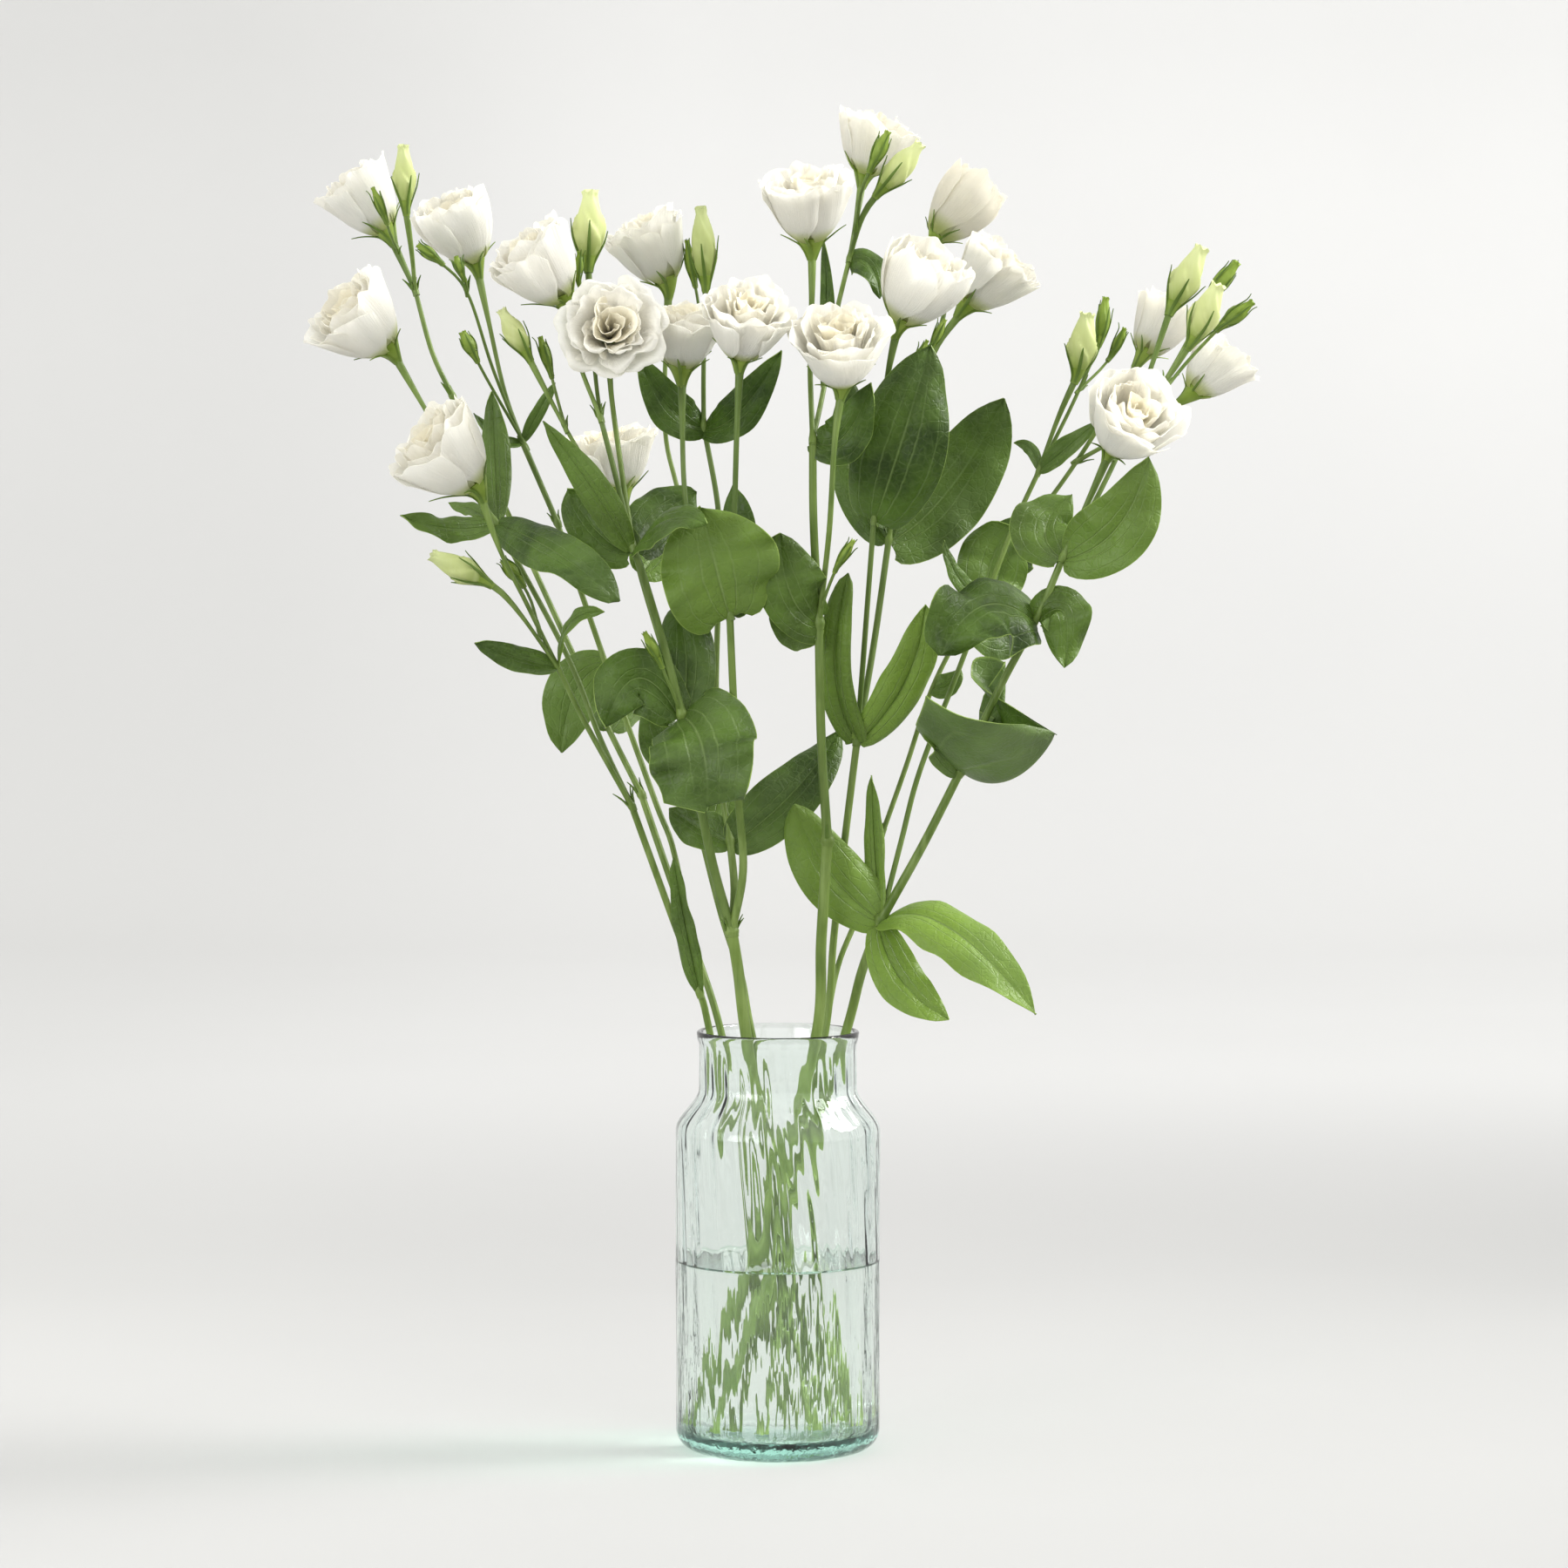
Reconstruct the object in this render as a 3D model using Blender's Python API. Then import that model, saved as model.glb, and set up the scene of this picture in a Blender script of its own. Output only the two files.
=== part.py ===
# A glass vase of white lisianthus: rippled glass, water, eight branching leafy stems, open double blooms and buds.
# Metres, +Z up, origin at the centre of the vase's base, front view along +Y.

import math
import random

import bmesh
import bpy
import numpy as np
from mathutils import Vector

MM = 0.001
SEED = 7

# Driving dimensions, in mm.
VASE_HEIGHT = 220.0
BODY_RADIUS = 53.5
NECK_RADIUS = 41.2
LIP_RADIUS = 42.6
WALL = 3.0
FLOOR = 10.0
FOOT_CORNER = 11.0
WATER_TOP = 100.0
GAP = 0.35
PETAL_THICK = 0.7
LEAF_THICK = 0.8
SEPAL_THICK = 0.8
SLIVER = 0.02

# The vase's shoulder, and how finely round parts are cut.
SHOULDER_TOP = 190.0
SHOULDER_FOOT = 168.0
VASE_SIDES = 32
STEM_SIDES = 5
BRANCH_SIDES = 4
LEAF_ROWS = 4
NARROW_LEAF = 17.0

# Flowers: the cup under each, its sepals, and the petals' rings from the outermost in, each as (petals, share
# of the width, share of the height, half the turn a petal spans in degrees, floor height, rim radius).
CUP_FOOT = 3.4
CUP_RIM = 4.0
CUP_LENGTH = 7.0
SEPALS = 5
BUD_SEPALS = 4
SEPAL_CLEAR = 2.0
PETAL_RINGS = ((5, 1.0, 1.0, 34, 3.0, 4.2), (3, 0.55, 0.94, 52, 5.0, 2.4))

# Buds: rings as (share of the length, share of the width), and how deep a green bud's point sits in its stalk
# and a stalk's end in the cup it holds.
BUD_RINGS = ((0.015, 0.24), (0.16, 0.66), (0.42, 1.0), (0.75, 0.55))
GREEN_BUD_RINGS = ((0.2, 0.85), (0.5, 0.9))
BUD_ROOT = 2.5
CUP_SINK = 3.0

# A place on the plant is given as it is seen from the front, in view units, with its depth in mm behind
# the vase's axis. One unit on the vase's axis is UNIT mm. The eye is level with EYE_HEIGHT.
UNIT = 1 / 2.2
VIEW_AXIS = 893
VIEW_BASE = 1668
EYE_DISTANCE = 2500.0
EYE_HEIGHT = 467.0


def seen(x, y, depth):
    """The point in mm that is seen at (x, y) and lies that far behind the vase's axis."""
    away = 1 + depth / EYE_DISTANCE
    height = (VIEW_BASE - y) * UNIT
    return Vector(((x - VIEW_AXIS) * UNIT * away, depth, EYE_HEIGHT + (height - EYE_HEIGHT) * away))


# Each stem's trunk: where its cut foot stands on the vase's floor, in mm, then places from the rim up, with
# its radius in mm at the foot and at the top.
TRUNKS = {
    "stem_left_front": ((7, 3), [(814, 1184, -3), (803, 1140, -10), (770, 1050, -20), (725, 925, -32)], 2.1, 1.8),
    "stem_left_back": ((15, -7), [(827, 1184, 16), (801, 1100, 22), (766, 1000, 30), (736, 912, 36)], 2.1, 1.9),
    "stem_middle_left": ((17, 37), [(856, 1186, -29), (848, 1120, -30), (840, 1070, -32)], 3.2, 3.0),
    "stem_back": ((31, -1), [(862, 1184, 27), (850, 1120, 32), (828, 1050, 40), (805, 960, 48)], 2.3, 1.9),
    "stem_middle": ((-35, 4), [(938, 1186, -26), (943, 1080, -30), (950, 965, -34)], 3.0, 2.8),
    "stem_middle_right": ((-19, -12), [(948, 1184, 2), (957, 1080, 0), (968, 980, -10), (984, 850, -16)], 2.1, 1.9),
    "stem_right": ((-30, -23), [(972, 1184, -3), (990, 1115, -10), (1012, 1056, -18)], 2.7, 2.5),
    "stem_right_back": ((-8, -23), [(948, 1184, 25), (962, 1110, 32), (985, 1050, 40), (1010, 965, 46)], 1.7, 1.5),
}

# Branches: the stem, places from the fork on, and the radius at the fork and at the tip.
BRANCHES = [
    ("stem_left_front", [(725, 925, -32), (672, 830, -44), (640, 765, -50)], 1.5, 1.4),
    ("stem_left_front", [(640, 765, -50), (606, 695, -54), (573, 628, -58), (550, 560, -58)], 1.2, 1.2),
    ("stem_left_front", [(640, 765, -50), (600, 708, -60), (576, 680, -64), (557, 667, -66)], 1.1, 1.0),
    ("stem_left_front", [(620, 727, -52), (610, 690, -46), (597, 665, -44)], 0.9, 0.8),
    ("stem_left_front", [(725, 925, -32), (690, 850, -28), (650, 750, -26), (570, 600, -30)], 1.5, 1.4),
    ("stem_left_front", [(570, 600, -30), (537, 550, -26), (495, 480, -22), (450, 402, -20)], 1.3, 1.2),
    ("stem_left_front", [(803, 1140, -12), (775, 985, -2), (752, 920, 4), (700, 775, 12), (640, 600, 18)], 1.6, 1.5),
    ("stem_left_front", [(640, 600, 18), (597, 500, 20)], 1.5, 1.7),
    ("stem_left_front", [(600, 507, 20), (580, 450, 24), (562, 370, 27), (548, 305, 29)], 1.2, 1.2),
    ("stem_left_front", [(602, 512, 20), (567, 425, 12), (537, 336, 6), (503, 299, 2)], 1.0, 0.8),
    ("stem_left_front", [(537, 336, 6), (536, 325, 3), (531, 316, 0)], 0.8, 0.7),
    ("stem_left_front", [(604, 512, 20), (565, 445, 6), (545, 408, -4)], 0.9, 0.8),
    ("stem_left_back", [(736, 912, 36), (700, 840, 42), (655, 745, 50), (600, 625, 60), (520, 455, 70)], 1.7, 1.4),
    ("stem_left_back", [(520, 455, 70), (497, 405, 72), (478, 335, 74)], 1.4, 1.3),
    ("stem_left_back", [(478, 335, 74), (462, 300, 80), (448, 270, 86)], 1.3, 1.2),
    ("stem_left_back", [(478, 335, 74), (474, 290, 64), (467, 239, 58)], 1.2, 1.1),
    ("stem_left_back", [(459, 292, 80), (449, 268, 66), (444, 252, 58)], 0.8, 0.7),
    ("stem_middle_left", [(840, 1070, -32), (820, 1000, -38), (805, 930, -46), (783, 820, -58)], 2.6, 2.2),
    ("stem_middle_left", [(783, 820, -58), (765, 750, -60), (740, 665, -63), (727, 628, -65)], 2.1, 1.9),
    ("stem_middle_left", [(783, 820, -58), (768, 785, -66), (757, 757, -70)], 0.9, 0.8),
    ("stem_middle_left", [(727, 628, -65), (714, 540, -52), (702, 450, -34), (701, 408, -34), (701, 392, -46)], 1.5, 1.3),
    ("stem_middle_left", [(727, 628, -65), (708, 550, -58), (690, 480, -50)], 1.5, 1.4),
    ("stem_middle_left", [(690, 480, -50), (670, 430, -46), (656, 385, -43), (651, 347, -40)], 1.2, 1.2),
    ("stem_middle_left", [(690, 480, -50), (684, 430, -36), (679, 360, -26), (676, 304, -22)], 1.1, 1.1),
    ("stem_middle_left", [(679, 360, -26), (668, 336, -32), (664, 320, -34)], 0.8, 0.7),
    ("stem_middle_left", [(727, 628, -65), (690, 560, -52), (650, 492, -46), (606, 408, -46)], 1.2, 1.0),
    ("stem_middle_left", [(650, 492, -46), (641, 460, -38), (632, 425, -34)], 0.9, 0.8),
    ("stem_middle_left", [(840, 1070, -32), (843, 1020, -26), (838, 965, -20)], 2.2, 2.0),
    ("stem_middle_left", [(838, 965, -20), (828, 900, -12), (822, 800, -2), (826, 650, 6)], 1.7, 1.5),
    ("stem_middle_left", [(826, 650, 6), (824, 580, 9), (808, 490, 12)], 1.5, 1.4),
    ("stem_middle_left", [(808, 490, 12), (808, 420, 14), (811, 327, 16)], 1.3, 1.2),
    ("stem_middle_left", [(809, 400, 14), (802, 350, 22), (797, 322, 26)], 0.9, 0.8),
    ("stem_middle_left", [(826, 650, 6), (790, 590, 16), (775, 550, 22), (763, 480, 28), (768, 328, 34)], 1.3, 1.2),
    ("stem_middle_left", [(840, 1070, -32), (853, 1000, -40), (848, 920, -46), (842, 800, -54), (838, 706, -60)], 2.2, 1.9),
    ("stem_middle_left", [(838, 706, -60), (843, 600, -64), (846, 500, -66), (850, 413, -66)], 1.5, 1.4),
    ("stem_middle_left", [(838, 706, -60), (800, 640, -50), (786, 560, -42), (783, 428, -30)], 1.4, 1.3),
    ("stem_back", [(805, 960, 48), (790, 880, 54), (770, 780, 62), (735, 660, 74), (713, 566, 82)], 1.7, 1.3),
    ("stem_middle", [(950, 965, -34), (943, 850, -38), (940, 715, -44)], 2.5, 2.3),
    ("stem_middle", [(940, 715, -44), (934, 600, -50), (933, 505, -52)], 2.2, 2.0),
    ("stem_middle", [(933, 505, -52), (930, 420, -40), (932, 340, -36), (932, 283, -34)], 1.4, 1.4),
    ("stem_middle", [(940, 715, -44), (952, 610, -62), (958, 510, -70), (967, 443, -70)], 1.5, 1.4),
    ("stem_middle", [(933, 505, -52), (945, 450, -30), (958, 370, -6), (975, 298, 8)], 1.4, 1.3),
    ("stem_middle", [(975, 298, 8), (984, 245, 24), (990, 205, 36)], 1.2, 1.2),
    ("stem_middle", [(975, 298, 8), (990, 250, 4), (1010, 221, 2)], 1.2, 1.1),
    ("stem_middle", [(982, 270, 6), (988, 225, 0), (1001, 191, -4)], 0.9, 0.8),
    ("stem_middle", [(942, 700, -46), (952, 672, -60), (962, 648, -66)], 0.9, 0.8),
    ("stem_middle_right", [(984, 850, -16), (993, 730, -16), (1003, 597, -16)], 1.5, 1.4),
    ("stem_middle_right", [(1003, 597, -16), (1009, 500, -24), (1019, 430, -32), (1031, 373, -34)], 1.2, 1.2),
    ("stem_middle_right", [(1003, 597, -16), (1012, 540, -10), (1019, 493, -4)], 1.1, 1.0),
    ("stem_middle_right", [(1019, 493, -4), (1034, 455, 0), (1050, 420, 2)], 0.8, 0.7),
    ("stem_middle_right", [(1019, 493, -4), (1042, 445, 6), (1070, 398, 8)], 0.9, 0.7),
    ("stem_middle_right", [(984, 850, -16), (1003, 740, 0), (1020, 620, 12)], 1.8, 1.7),
    ("stem_middle_right", [(1020, 620, 12), (1040, 520, 22), (1070, 410, 32), (1107, 354, 40)], 1.4, 1.2),
    ("stem_middle_right", [(1060, 440, 29), (1085, 350, 54), (1078, 305, 66), (1071, 276, 70)], 1.3, 1.2),
    ("stem_right", [(1012, 1056, -18), (1060, 970, -24), (1103, 885, -30)], 2.4, 2.2),
    ("stem_right", [(1103, 885, -30), (1150, 785, -38), (1190, 710, -44), (1220, 640, -48)], 2.1, 1.8),
    ("stem_right", [(1220, 640, -48), (1250, 573, -48), (1275, 516, -44)], 1.5, 1.4),
    ("stem_right", [(1220, 640, -48), (1262, 565, -34), (1300, 480, -18), (1343, 354, -4)], 1.4, 1.2),
    ("stem_right", [(1300, 480, -18), (1335, 440, -22), (1367, 393, -26)], 1.2, 1.1),
    ("stem_right", [(1335, 440, -22), (1360, 395, -6), (1386, 342, 2)], 1.0, 0.9),
    ("stem_right", [(1280, 525, -26), (1350, 430, 8), (1401, 374, 14)], 1.1, 0.9),
    ("stem_right", [(1012, 1056, -18), (1035, 965, -8), (1056, 885, -2), (1098, 775, 8), (1130, 690, 14)], 1.5, 1.4),
    ("stem_right", [(1130, 690, 14), (1165, 600, 20), (1192, 541, 24)], 1.4, 1.3),
    ("stem_right", [(1192, 541, 24), (1214, 480, 22), (1236, 431, 20)], 1.2, 1.1),
    ("stem_right", [(1192, 541, 24), (1230, 465, 32), (1262, 392, 38)], 1.1, 0.9),
    ("stem_right", [(1238, 448, 34), (1262, 425, 42), (1276, 408, 46)], 0.8, 0.7),
    ("stem_right_back", [(1010, 965, 46), (1040, 880, 52), (1070, 790, 58), (1110, 710, 66)], 1.4, 1.3),
    ("stem_right_back", [(1110, 710, 66), (1170, 620, 76), (1235, 530, 86), (1310, 410, 92)], 1.3, 1.2),
    ("stem_right_back", [(1235, 530, 86), (1310, 488, 78), (1366, 454, 66)], 1.2, 1.2),
]

# Leaves: the stem, the places of base, middle and tip, the width in mm, the way the face looks, and the
# fold of each half towards that side, in degrees.
LEAVES = [
    ("stem_left_front", (803, 1140, -12), (786, 1060, -24), (773, 984, -28), 16, (-0.5, -1, 0), 35),
    ("stem_left_front", (640, 766, -50), (592, 754, -60), (545, 738, -66), 16, (0.2, -1, 0.5), 15),
    ("stem_left_front", (642, 766, -50), (654, 716, -64), (694, 702, -76), 12, (-1, -0.4, 0.3), 20),
    ("stem_left_front", (570, 602, -30), (515, 606, -44), (460, 592, -54), 15, (0, -0.8, 0.6), 15),
    ("stem_left_front", (571, 602, -30), (636, 632, -84), (712, 690, -94), 31, (-0.2, -1, 0.5), 10),
    ("stem_left_front", (572, 600, -30), (569, 525, -6), (566, 450, 2), 16, (0, -1, 0), 12),
    ("stem_left_front", (569, 602, -30), (545, 586, -18), (516, 578, -8), 12, (0, -0.6, 0.8), 10),
    ("stem_left_front", (695, 762, 13), (660, 795, 26), (644, 864, 30), 32, (0.1, -1, 0.2), 8),
    ("stem_left_front", (600, 508, 20), (572, 503, 12), (545, 475, 6), 9, (0, -0.8, 0.5), 15),
    ("stem_left_front", (601, 508, 20), (620, 472, 16), (638, 440, 12), 8, (0.3, -1, 0.2), 15),
    ("stem_left_back", (700, 840, 42), (715, 800, 62), (733, 758, 76), 30, (0, -1, 0.1), 12),
    ("stem_middle_left", (724, 632, -65), (680, 560, -76), (624, 484, -80), 18, (-0.3, -1, 0.3), 18),
    ("stem_middle_left", (724, 634, -64), (688, 612, -56), (652, 562, -50), 31, (0.1, -1, 0.2), 8),
    ("stem_middle_left", (728, 634, -65), (766, 596, -92), (812, 602, -102), 24, (0, -0.7, 0.7), 10),
    ("stem_middle_left", (730, 634, -64), (762, 590, -44), (800, 566, -34), 34, (0, -1, 0.1), 8),
    ("stem_middle_left", (838, 708, -60), (822, 650, -76), (806, 584, -76), 60, (0, -1, 0.25), 8),
    ("stem_middle_left", (839, 706, -58), (848, 640, -42), (842, 556, -34), 26, (0.2, -1, 0), 12),
    ("stem_middle_left", (808, 494, 12), (850, 472, -2), (897, 403, -10), 23, (0, -1, 0.3), 14),
    ("stem_middle_left", (807, 492, 12), (772, 470, 2), (735, 412, -2), 24, (0, -1, 0.3), 14),
    ("stem_middle_left", (784, 822, -58), (806, 856, -90), (812, 926, -90), 60, (0, -1, 0.15), 8),
    ("stem_middle_left", (783, 822, -57), (788, 760, -44), (778, 694, -40), 33, (0, -1, 0), 10),
    ("stem_middle_left", (780, 824, -57), (732, 778, -60), (694, 836, -66), 38, (0.2, -1, 0.2), 10),
    ("stem_middle_left", (838, 968, -20), (804, 952, -14), (768, 928, -8), 22, (0, -1, 0.3), 12),
    ("stem_middle_left", (838, 970, -20), (905, 915, -12), (966, 838, 8), 34, (0, -1, 0.2), 12),
    ("stem_back", (805, 960, 48), (818, 905, 66), (832, 850, 84), 34, (0, -1, 0.1), 12),
    ("stem_back", (793, 896, 53), (764, 856, 46), (742, 812, 42), 28, (0, -1, 0), 12),
    ("stem_back", (735, 660, 74), (765, 616, 92), (776, 566, 104), 32, (0, -1, 0.1), 12),
    ("stem_middle", (940, 716, -44), (908, 682, -58), (896, 612, -62), 39, (0, -1, 0.2), 10),
    ("stem_middle", (941, 716, -43), (914, 726, -30), (884, 700, -20), 20, (0, -1, 0.3), 10),
    ("stem_middle", (934, 506, -51), (968, 502, -54), (1000, 440, -60), 26, (0, -1, 0.2), 12),
    ("stem_middle", (975, 300, 8), (998, 306, 0), (1010, 344, -6), 20, (0.3, -1, 0.3), 10),
    ("stem_middle", (944, 446, -28), (949, 360, -16), (945, 276, -14), 8, (0.3, -1, 0), 15),
    ("stem_middle_right", (983, 851, -16), (958, 765, -30), (974, 658, -34), 20, (-0.7, -1, 0), 30),
    ("stem_middle_right", (985, 852, -16), (1040, 782, -28), (1062, 694, -30), 25, (0.6, -1, 0.2), 25),
    ("stem_middle_right", (1004, 598, -15), (1034, 510, -40), (1068, 398, -38), 54, (0, -1, 0.1), 10),
    ("stem_middle_right", (1021, 622, 12), (1086, 566, 30), (1152, 458, 36), 50, (0, -1, 0.1), 10),
    ("stem_middle_right", (1019, 622, 12), (984, 540, 24), (978, 432, 32), 32, (0, -1, 0), 12),
    ("stem_right", (1011, 1057, -18), (952, 1000, -20), (912, 924, -24), 36, (0, -1, 0.2), 10),
    ("stem_right", (1011, 1054, -18), (1004, 970, -8), (1001, 890, -4), 13, (-0.6, -1, 0), 30),
    ("stem_right", (1009, 1062, -18), (1036, 1126, -34), (1090, 1172, -40), 27, (0, -1, 0.4), 10),
    ("stem_right", (1014, 1058, -18), (1088, 1064, -48), (1190, 1166, -64), 38, (0, -0.6, 0.8), 10),
    ("stem_right", (1104, 885, -30), (1158, 890, -46), (1211, 842, -54), 66, (0, -0.35, 1), 62),
    ("stem_right", (1103, 886, -30), (1080, 846, -48), (1058, 834, -58), 24, (0, -0.9, 0.4), 12),
    ("stem_right", (1189, 714, -44), (1130, 694, -68), (1080, 752, -78), 42, (0, -0.8, 0.6), 10),
    ("stem_right", (1192, 712, -44), (1222, 704, -54), (1222, 766, -56), 30, (0.2, -1, 0.3), 10),
    ("stem_right", (1219, 642, -48), (1200, 606, -30), (1230, 568, -20), 34, (0, -1, 0.3), 10),
    ("stem_right", (1221, 642, -48), (1282, 606, -62), (1318, 524, -62), 40, (0, -1, 0.2), 12),
    ("stem_right", (1130, 690, 14), (1138, 645, 24), (1160, 604, 28), 40, (0, -1, 0.1), 10),
    ("stem_right", (1129, 690, 14), (1100, 664, 8), (1083, 620, 4), 10, (0.4, -1, 0), 15),
    ("stem_right", (1192, 541, 24), (1222, 516, 14), (1260, 484, 10), 12, (0, -1, 0.4), 15),
    ("stem_right", (1192, 541, 24), (1182, 516, 30), (1163, 509, 32), 7, (0, -1, 0.4), 10),
    ("stem_right_back", (1070, 790, 58), (1088, 786, 52), (1103, 768, 50), 14, (0, -1, 0.3), 12),
    ("stem_right_back", (1110, 710, 66), (1150, 722, 84), (1182, 712, 96), 32, (0, -1, 0.1), 12),
    ("stem_right_back", (1180, 606, 78), (1150, 640, 96), (1130, 676, 106), 32, (0, -1, 0.1), 12),
]

# Open blooms: the stem, the place of the base, a place on the bloom's axis, the width of the mouth and the
# height of the cup in mm.
BLOOMS = [
    ("stem_left_back", (448, 270, 86), (414, 223, 85), 44, 42),
    ("stem_left_front", (450, 402, -20), (396, 352, -34), 50, 42),
    ("stem_left_front", (550, 560, -58), (488, 500, -72), 52, 46),
    ("stem_left_front", (548, 305, 29), (524, 252, 20), 42, 40),
    ("stem_middle_left", (651, 347, -40), (602, 281, -51), 46, 44),
    ("stem_middle_left", (768, 328, 34), (742, 276, 30), 44, 42),
    ("stem_middle_left", (701, 392, -46), (701, 364, -88), 55, 36),
    ("stem_middle_left", (783, 428, -30), (786, 380, -36), 46, 38),
    ("stem_middle_left", (850, 413, -66), (858, 362, -82), 46, 42),
    ("stem_back", (713, 566, 82), (702, 511, 78), 52, 38),
    ("stem_middle", (932, 283, -34), (927, 230, -42), 52, 42),
    ("stem_middle", (967, 443, -70), (963, 392, -85), 50, 42),
    ("stem_middle", (990, 205, 36), (1003, 161, 33), 42, 36),
    ("stem_middle_right", (1031, 373, -34), (1058, 325, -42), 46, 42),
    ("stem_middle_right", (1071, 276, 70), (1112, 228, 74), 36, 42),
    ("stem_middle_right", (1107, 354, 40), (1152, 301, 35), 44, 42),
    ("stem_right", (1275, 516, -44), (1308, 466, -68), 52, 42),
    ("stem_right_back", (1310, 410, 92), (1333, 370, 96), 34, 36),
    ("stem_right_back", (1366, 454, 66), (1404, 413, 67), 38, 38),
]

# Closed buds, each a node: the stem, the places of base and tip, and the width in mm.
BUDS = [
    ("stem_left_back", (467, 239, 58), (465, 170, 56), 11),
    ("stem_left_front", (557, 667, -66), (496, 637, -72), 12),
    ("stem_middle_left", (606, 408, -46), (577, 357, -50), 10),
    ("stem_middle_left", (676, 304, -22), (679, 222, -22), 15),
    ("stem_middle_left", (811, 327, 16), (805, 241, 16), 12),
    ("stem_middle", (1010, 221, 2), (1056, 168, 0), 12),
    ("stem_right", (1236, 431, 20), (1247, 361, 18), 14),
    ("stem_right", (1343, 354, -4), (1378, 286, -6), 14),
    ("stem_right", (1367, 393, -26), (1397, 328, -32), 14),
]

# Small green buds, part of the stem: the stem, the places of base and tip, and the width in mm.
GREEN_BUDS = [
    ("stem_left_front", (503, 299, 2), (481, 283, 0), 6),
    ("stem_left_front", (531, 316, 0), (525, 296, -2), 5),
    ("stem_left_front", (545, 408, -4), (532, 382, -6), 7.5),
    ("stem_left_front", (597, 665, -44), (577, 643, -44), 7.5),
    ("stem_left_back", (444, 252, 58), (430, 218, 54), 5),
    ("stem_middle_left", (757, 757, -70), (740, 726, -74), 6),
    ("stem_middle_left", (664, 320, -34), (666, 291, -34), 5),
    ("stem_middle_left", (632, 425, -34), (621, 388, -34), 5.5),
    ("stem_middle_left", (797, 322, 26), (789, 278, 28), 6),
    ("stem_middle", (1001, 191, -4), (1019, 154, -6), 7.5),
    ("stem_middle", (962, 648, -66), (980, 620, -70), 5),
    ("stem_middle_right", (1050, 420, 2), (1064, 392, 4), 4.5),
    ("stem_middle_right", (1070, 398, 8), (1084, 368, 10), 5),
    ("stem_right", (1262, 392, 38), (1268, 343, 38), 7.5),
    ("stem_right", (1276, 408, 46), (1290, 378, 46), 5.5),
    ("stem_right", (1386, 342, 2), (1418, 303, 2), 9),
    ("stem_right", (1401, 374, 14), (1436, 348, 14), 8.5),
]

COLOURS = {
    "glass": ((0.78, 0.93, 0.88, 0.35), 0.05),
    "water": ((0.86, 0.96, 0.93, 0.35), 0.02),
    "green": ((0.12, 0.26, 0.07, 1), 0.55),
    "white": ((0.90, 0.89, 0.82, 1), 0.6),
    "bud": ((0.62, 0.72, 0.38, 1), 0.55),
}


def clear_scene():
    for old in list(bpy.data.objects):
        bpy.data.objects.remove(old)


def material(name):
    made = bpy.data.materials.get(name) or bpy.data.materials.new(name)
    colour, roughness = COLOURS[name]
    made.use_nodes = True
    shader = made.node_tree.nodes["Principled BSDF"]
    shader.inputs["Base Color"].default_value = colour
    shader.inputs["Roughness"].default_value = roughness
    shader.inputs["Metallic"].default_value = 0.0
    return made


def mesh_object(name, points, faces, look=None):
    """An object from points in mm."""
    mesh = bpy.data.meshes.new(name)
    mesh.from_pydata([Vector(p) * MM for p in points], [], faces)
    made = bpy.data.objects.new(name, mesh)
    bpy.context.scene.collection.objects.link(made)
    if look:
        mesh.materials.append(material(look))
    return made


def facing_out(points, faces):
    """The faces, turned round if the closed shape they make is inside out."""
    volume = 0.0
    for face in faces:
        first = Vector(points[face[0]])
        for second, third in zip(face[1:-1], face[2:]):
            volume += first.dot(Vector(points[second]).cross(Vector(points[third])))
    return [tuple(reversed(face)) for face in faces] if volume < 0 else faces


def tube(points, first, last, sides):
    """The closed shape of a tube along the points, as (points, faces)."""
    shape, faces = [], []
    side = None
    for k, point in enumerate(points):
        along = (points[min(k + 1, len(points) - 1)] - points[max(k - 1, 0)]).normalized()
        side = (side or Vector((0.3, 1, 0.1))).cross(along).cross(along).normalized() * -1
        other = along.cross(side)
        radius = first + (last - first) * k / (len(points) - 1)
        for n in range(sides):
            turn = 2 * math.pi * n / sides
            shape.append(point + (side * math.cos(turn) + other * math.sin(turn)) * radius)
    for k in range(len(points) - 1):
        for n in range(sides):
            a, b = k * sides + n, k * sides + (n + 1) % sides
            faces.append((a, b, b + sides, a + sides))
    faces.append(tuple(range(sides))[::-1])
    faces.append(tuple(range(len(shape) - sides, len(shape))))
    return shape, facing_out(shape, faces)


def blade(rows, thickness):
    """The closed shape of a thin blade over a grid of points, both faces split alike, as (points, faces)."""
    grid = np.array([[tuple(p) for p in row] for row in rows])
    along = np.gradient(grid, axis=0)
    across = np.gradient(grid, axis=1)
    normal = np.cross(along, across)
    normal /= np.linalg.norm(normal, axis=2, keepdims=True)
    count, wide = grid.shape[:2]
    front = (grid + normal * thickness / 2).reshape(-1, 3)
    back = (grid - normal * thickness / 2).reshape(-1, 3)
    far = count * wide
    faces = []
    for r in range(count - 1):
        for c in range(wide - 1):
            a, b = r * wide + c, r * wide + c + 1
            e, d = a + wide, b + wide
            faces += [(a, b, d), (a, d, e), (far + a, far + d, far + b), (far + a, far + e, far + d)]
    edge = [c for c in range(wide)]
    edge += [r * wide + wide - 1 for r in range(1, count)]
    edge += [(count - 1) * wide + c for c in range(wide - 2, -1, -1)]
    edge += [r * wide for r in range(count - 2, 0, -1)]
    for a, b in zip(edge, edge[1:] + edge[:1]):
        faces += [(a, far + a, far + b), (a, far + b, b)]
    points = [Vector(p) for p in np.vstack([front, back])]
    return points, facing_out(points, faces)


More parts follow.
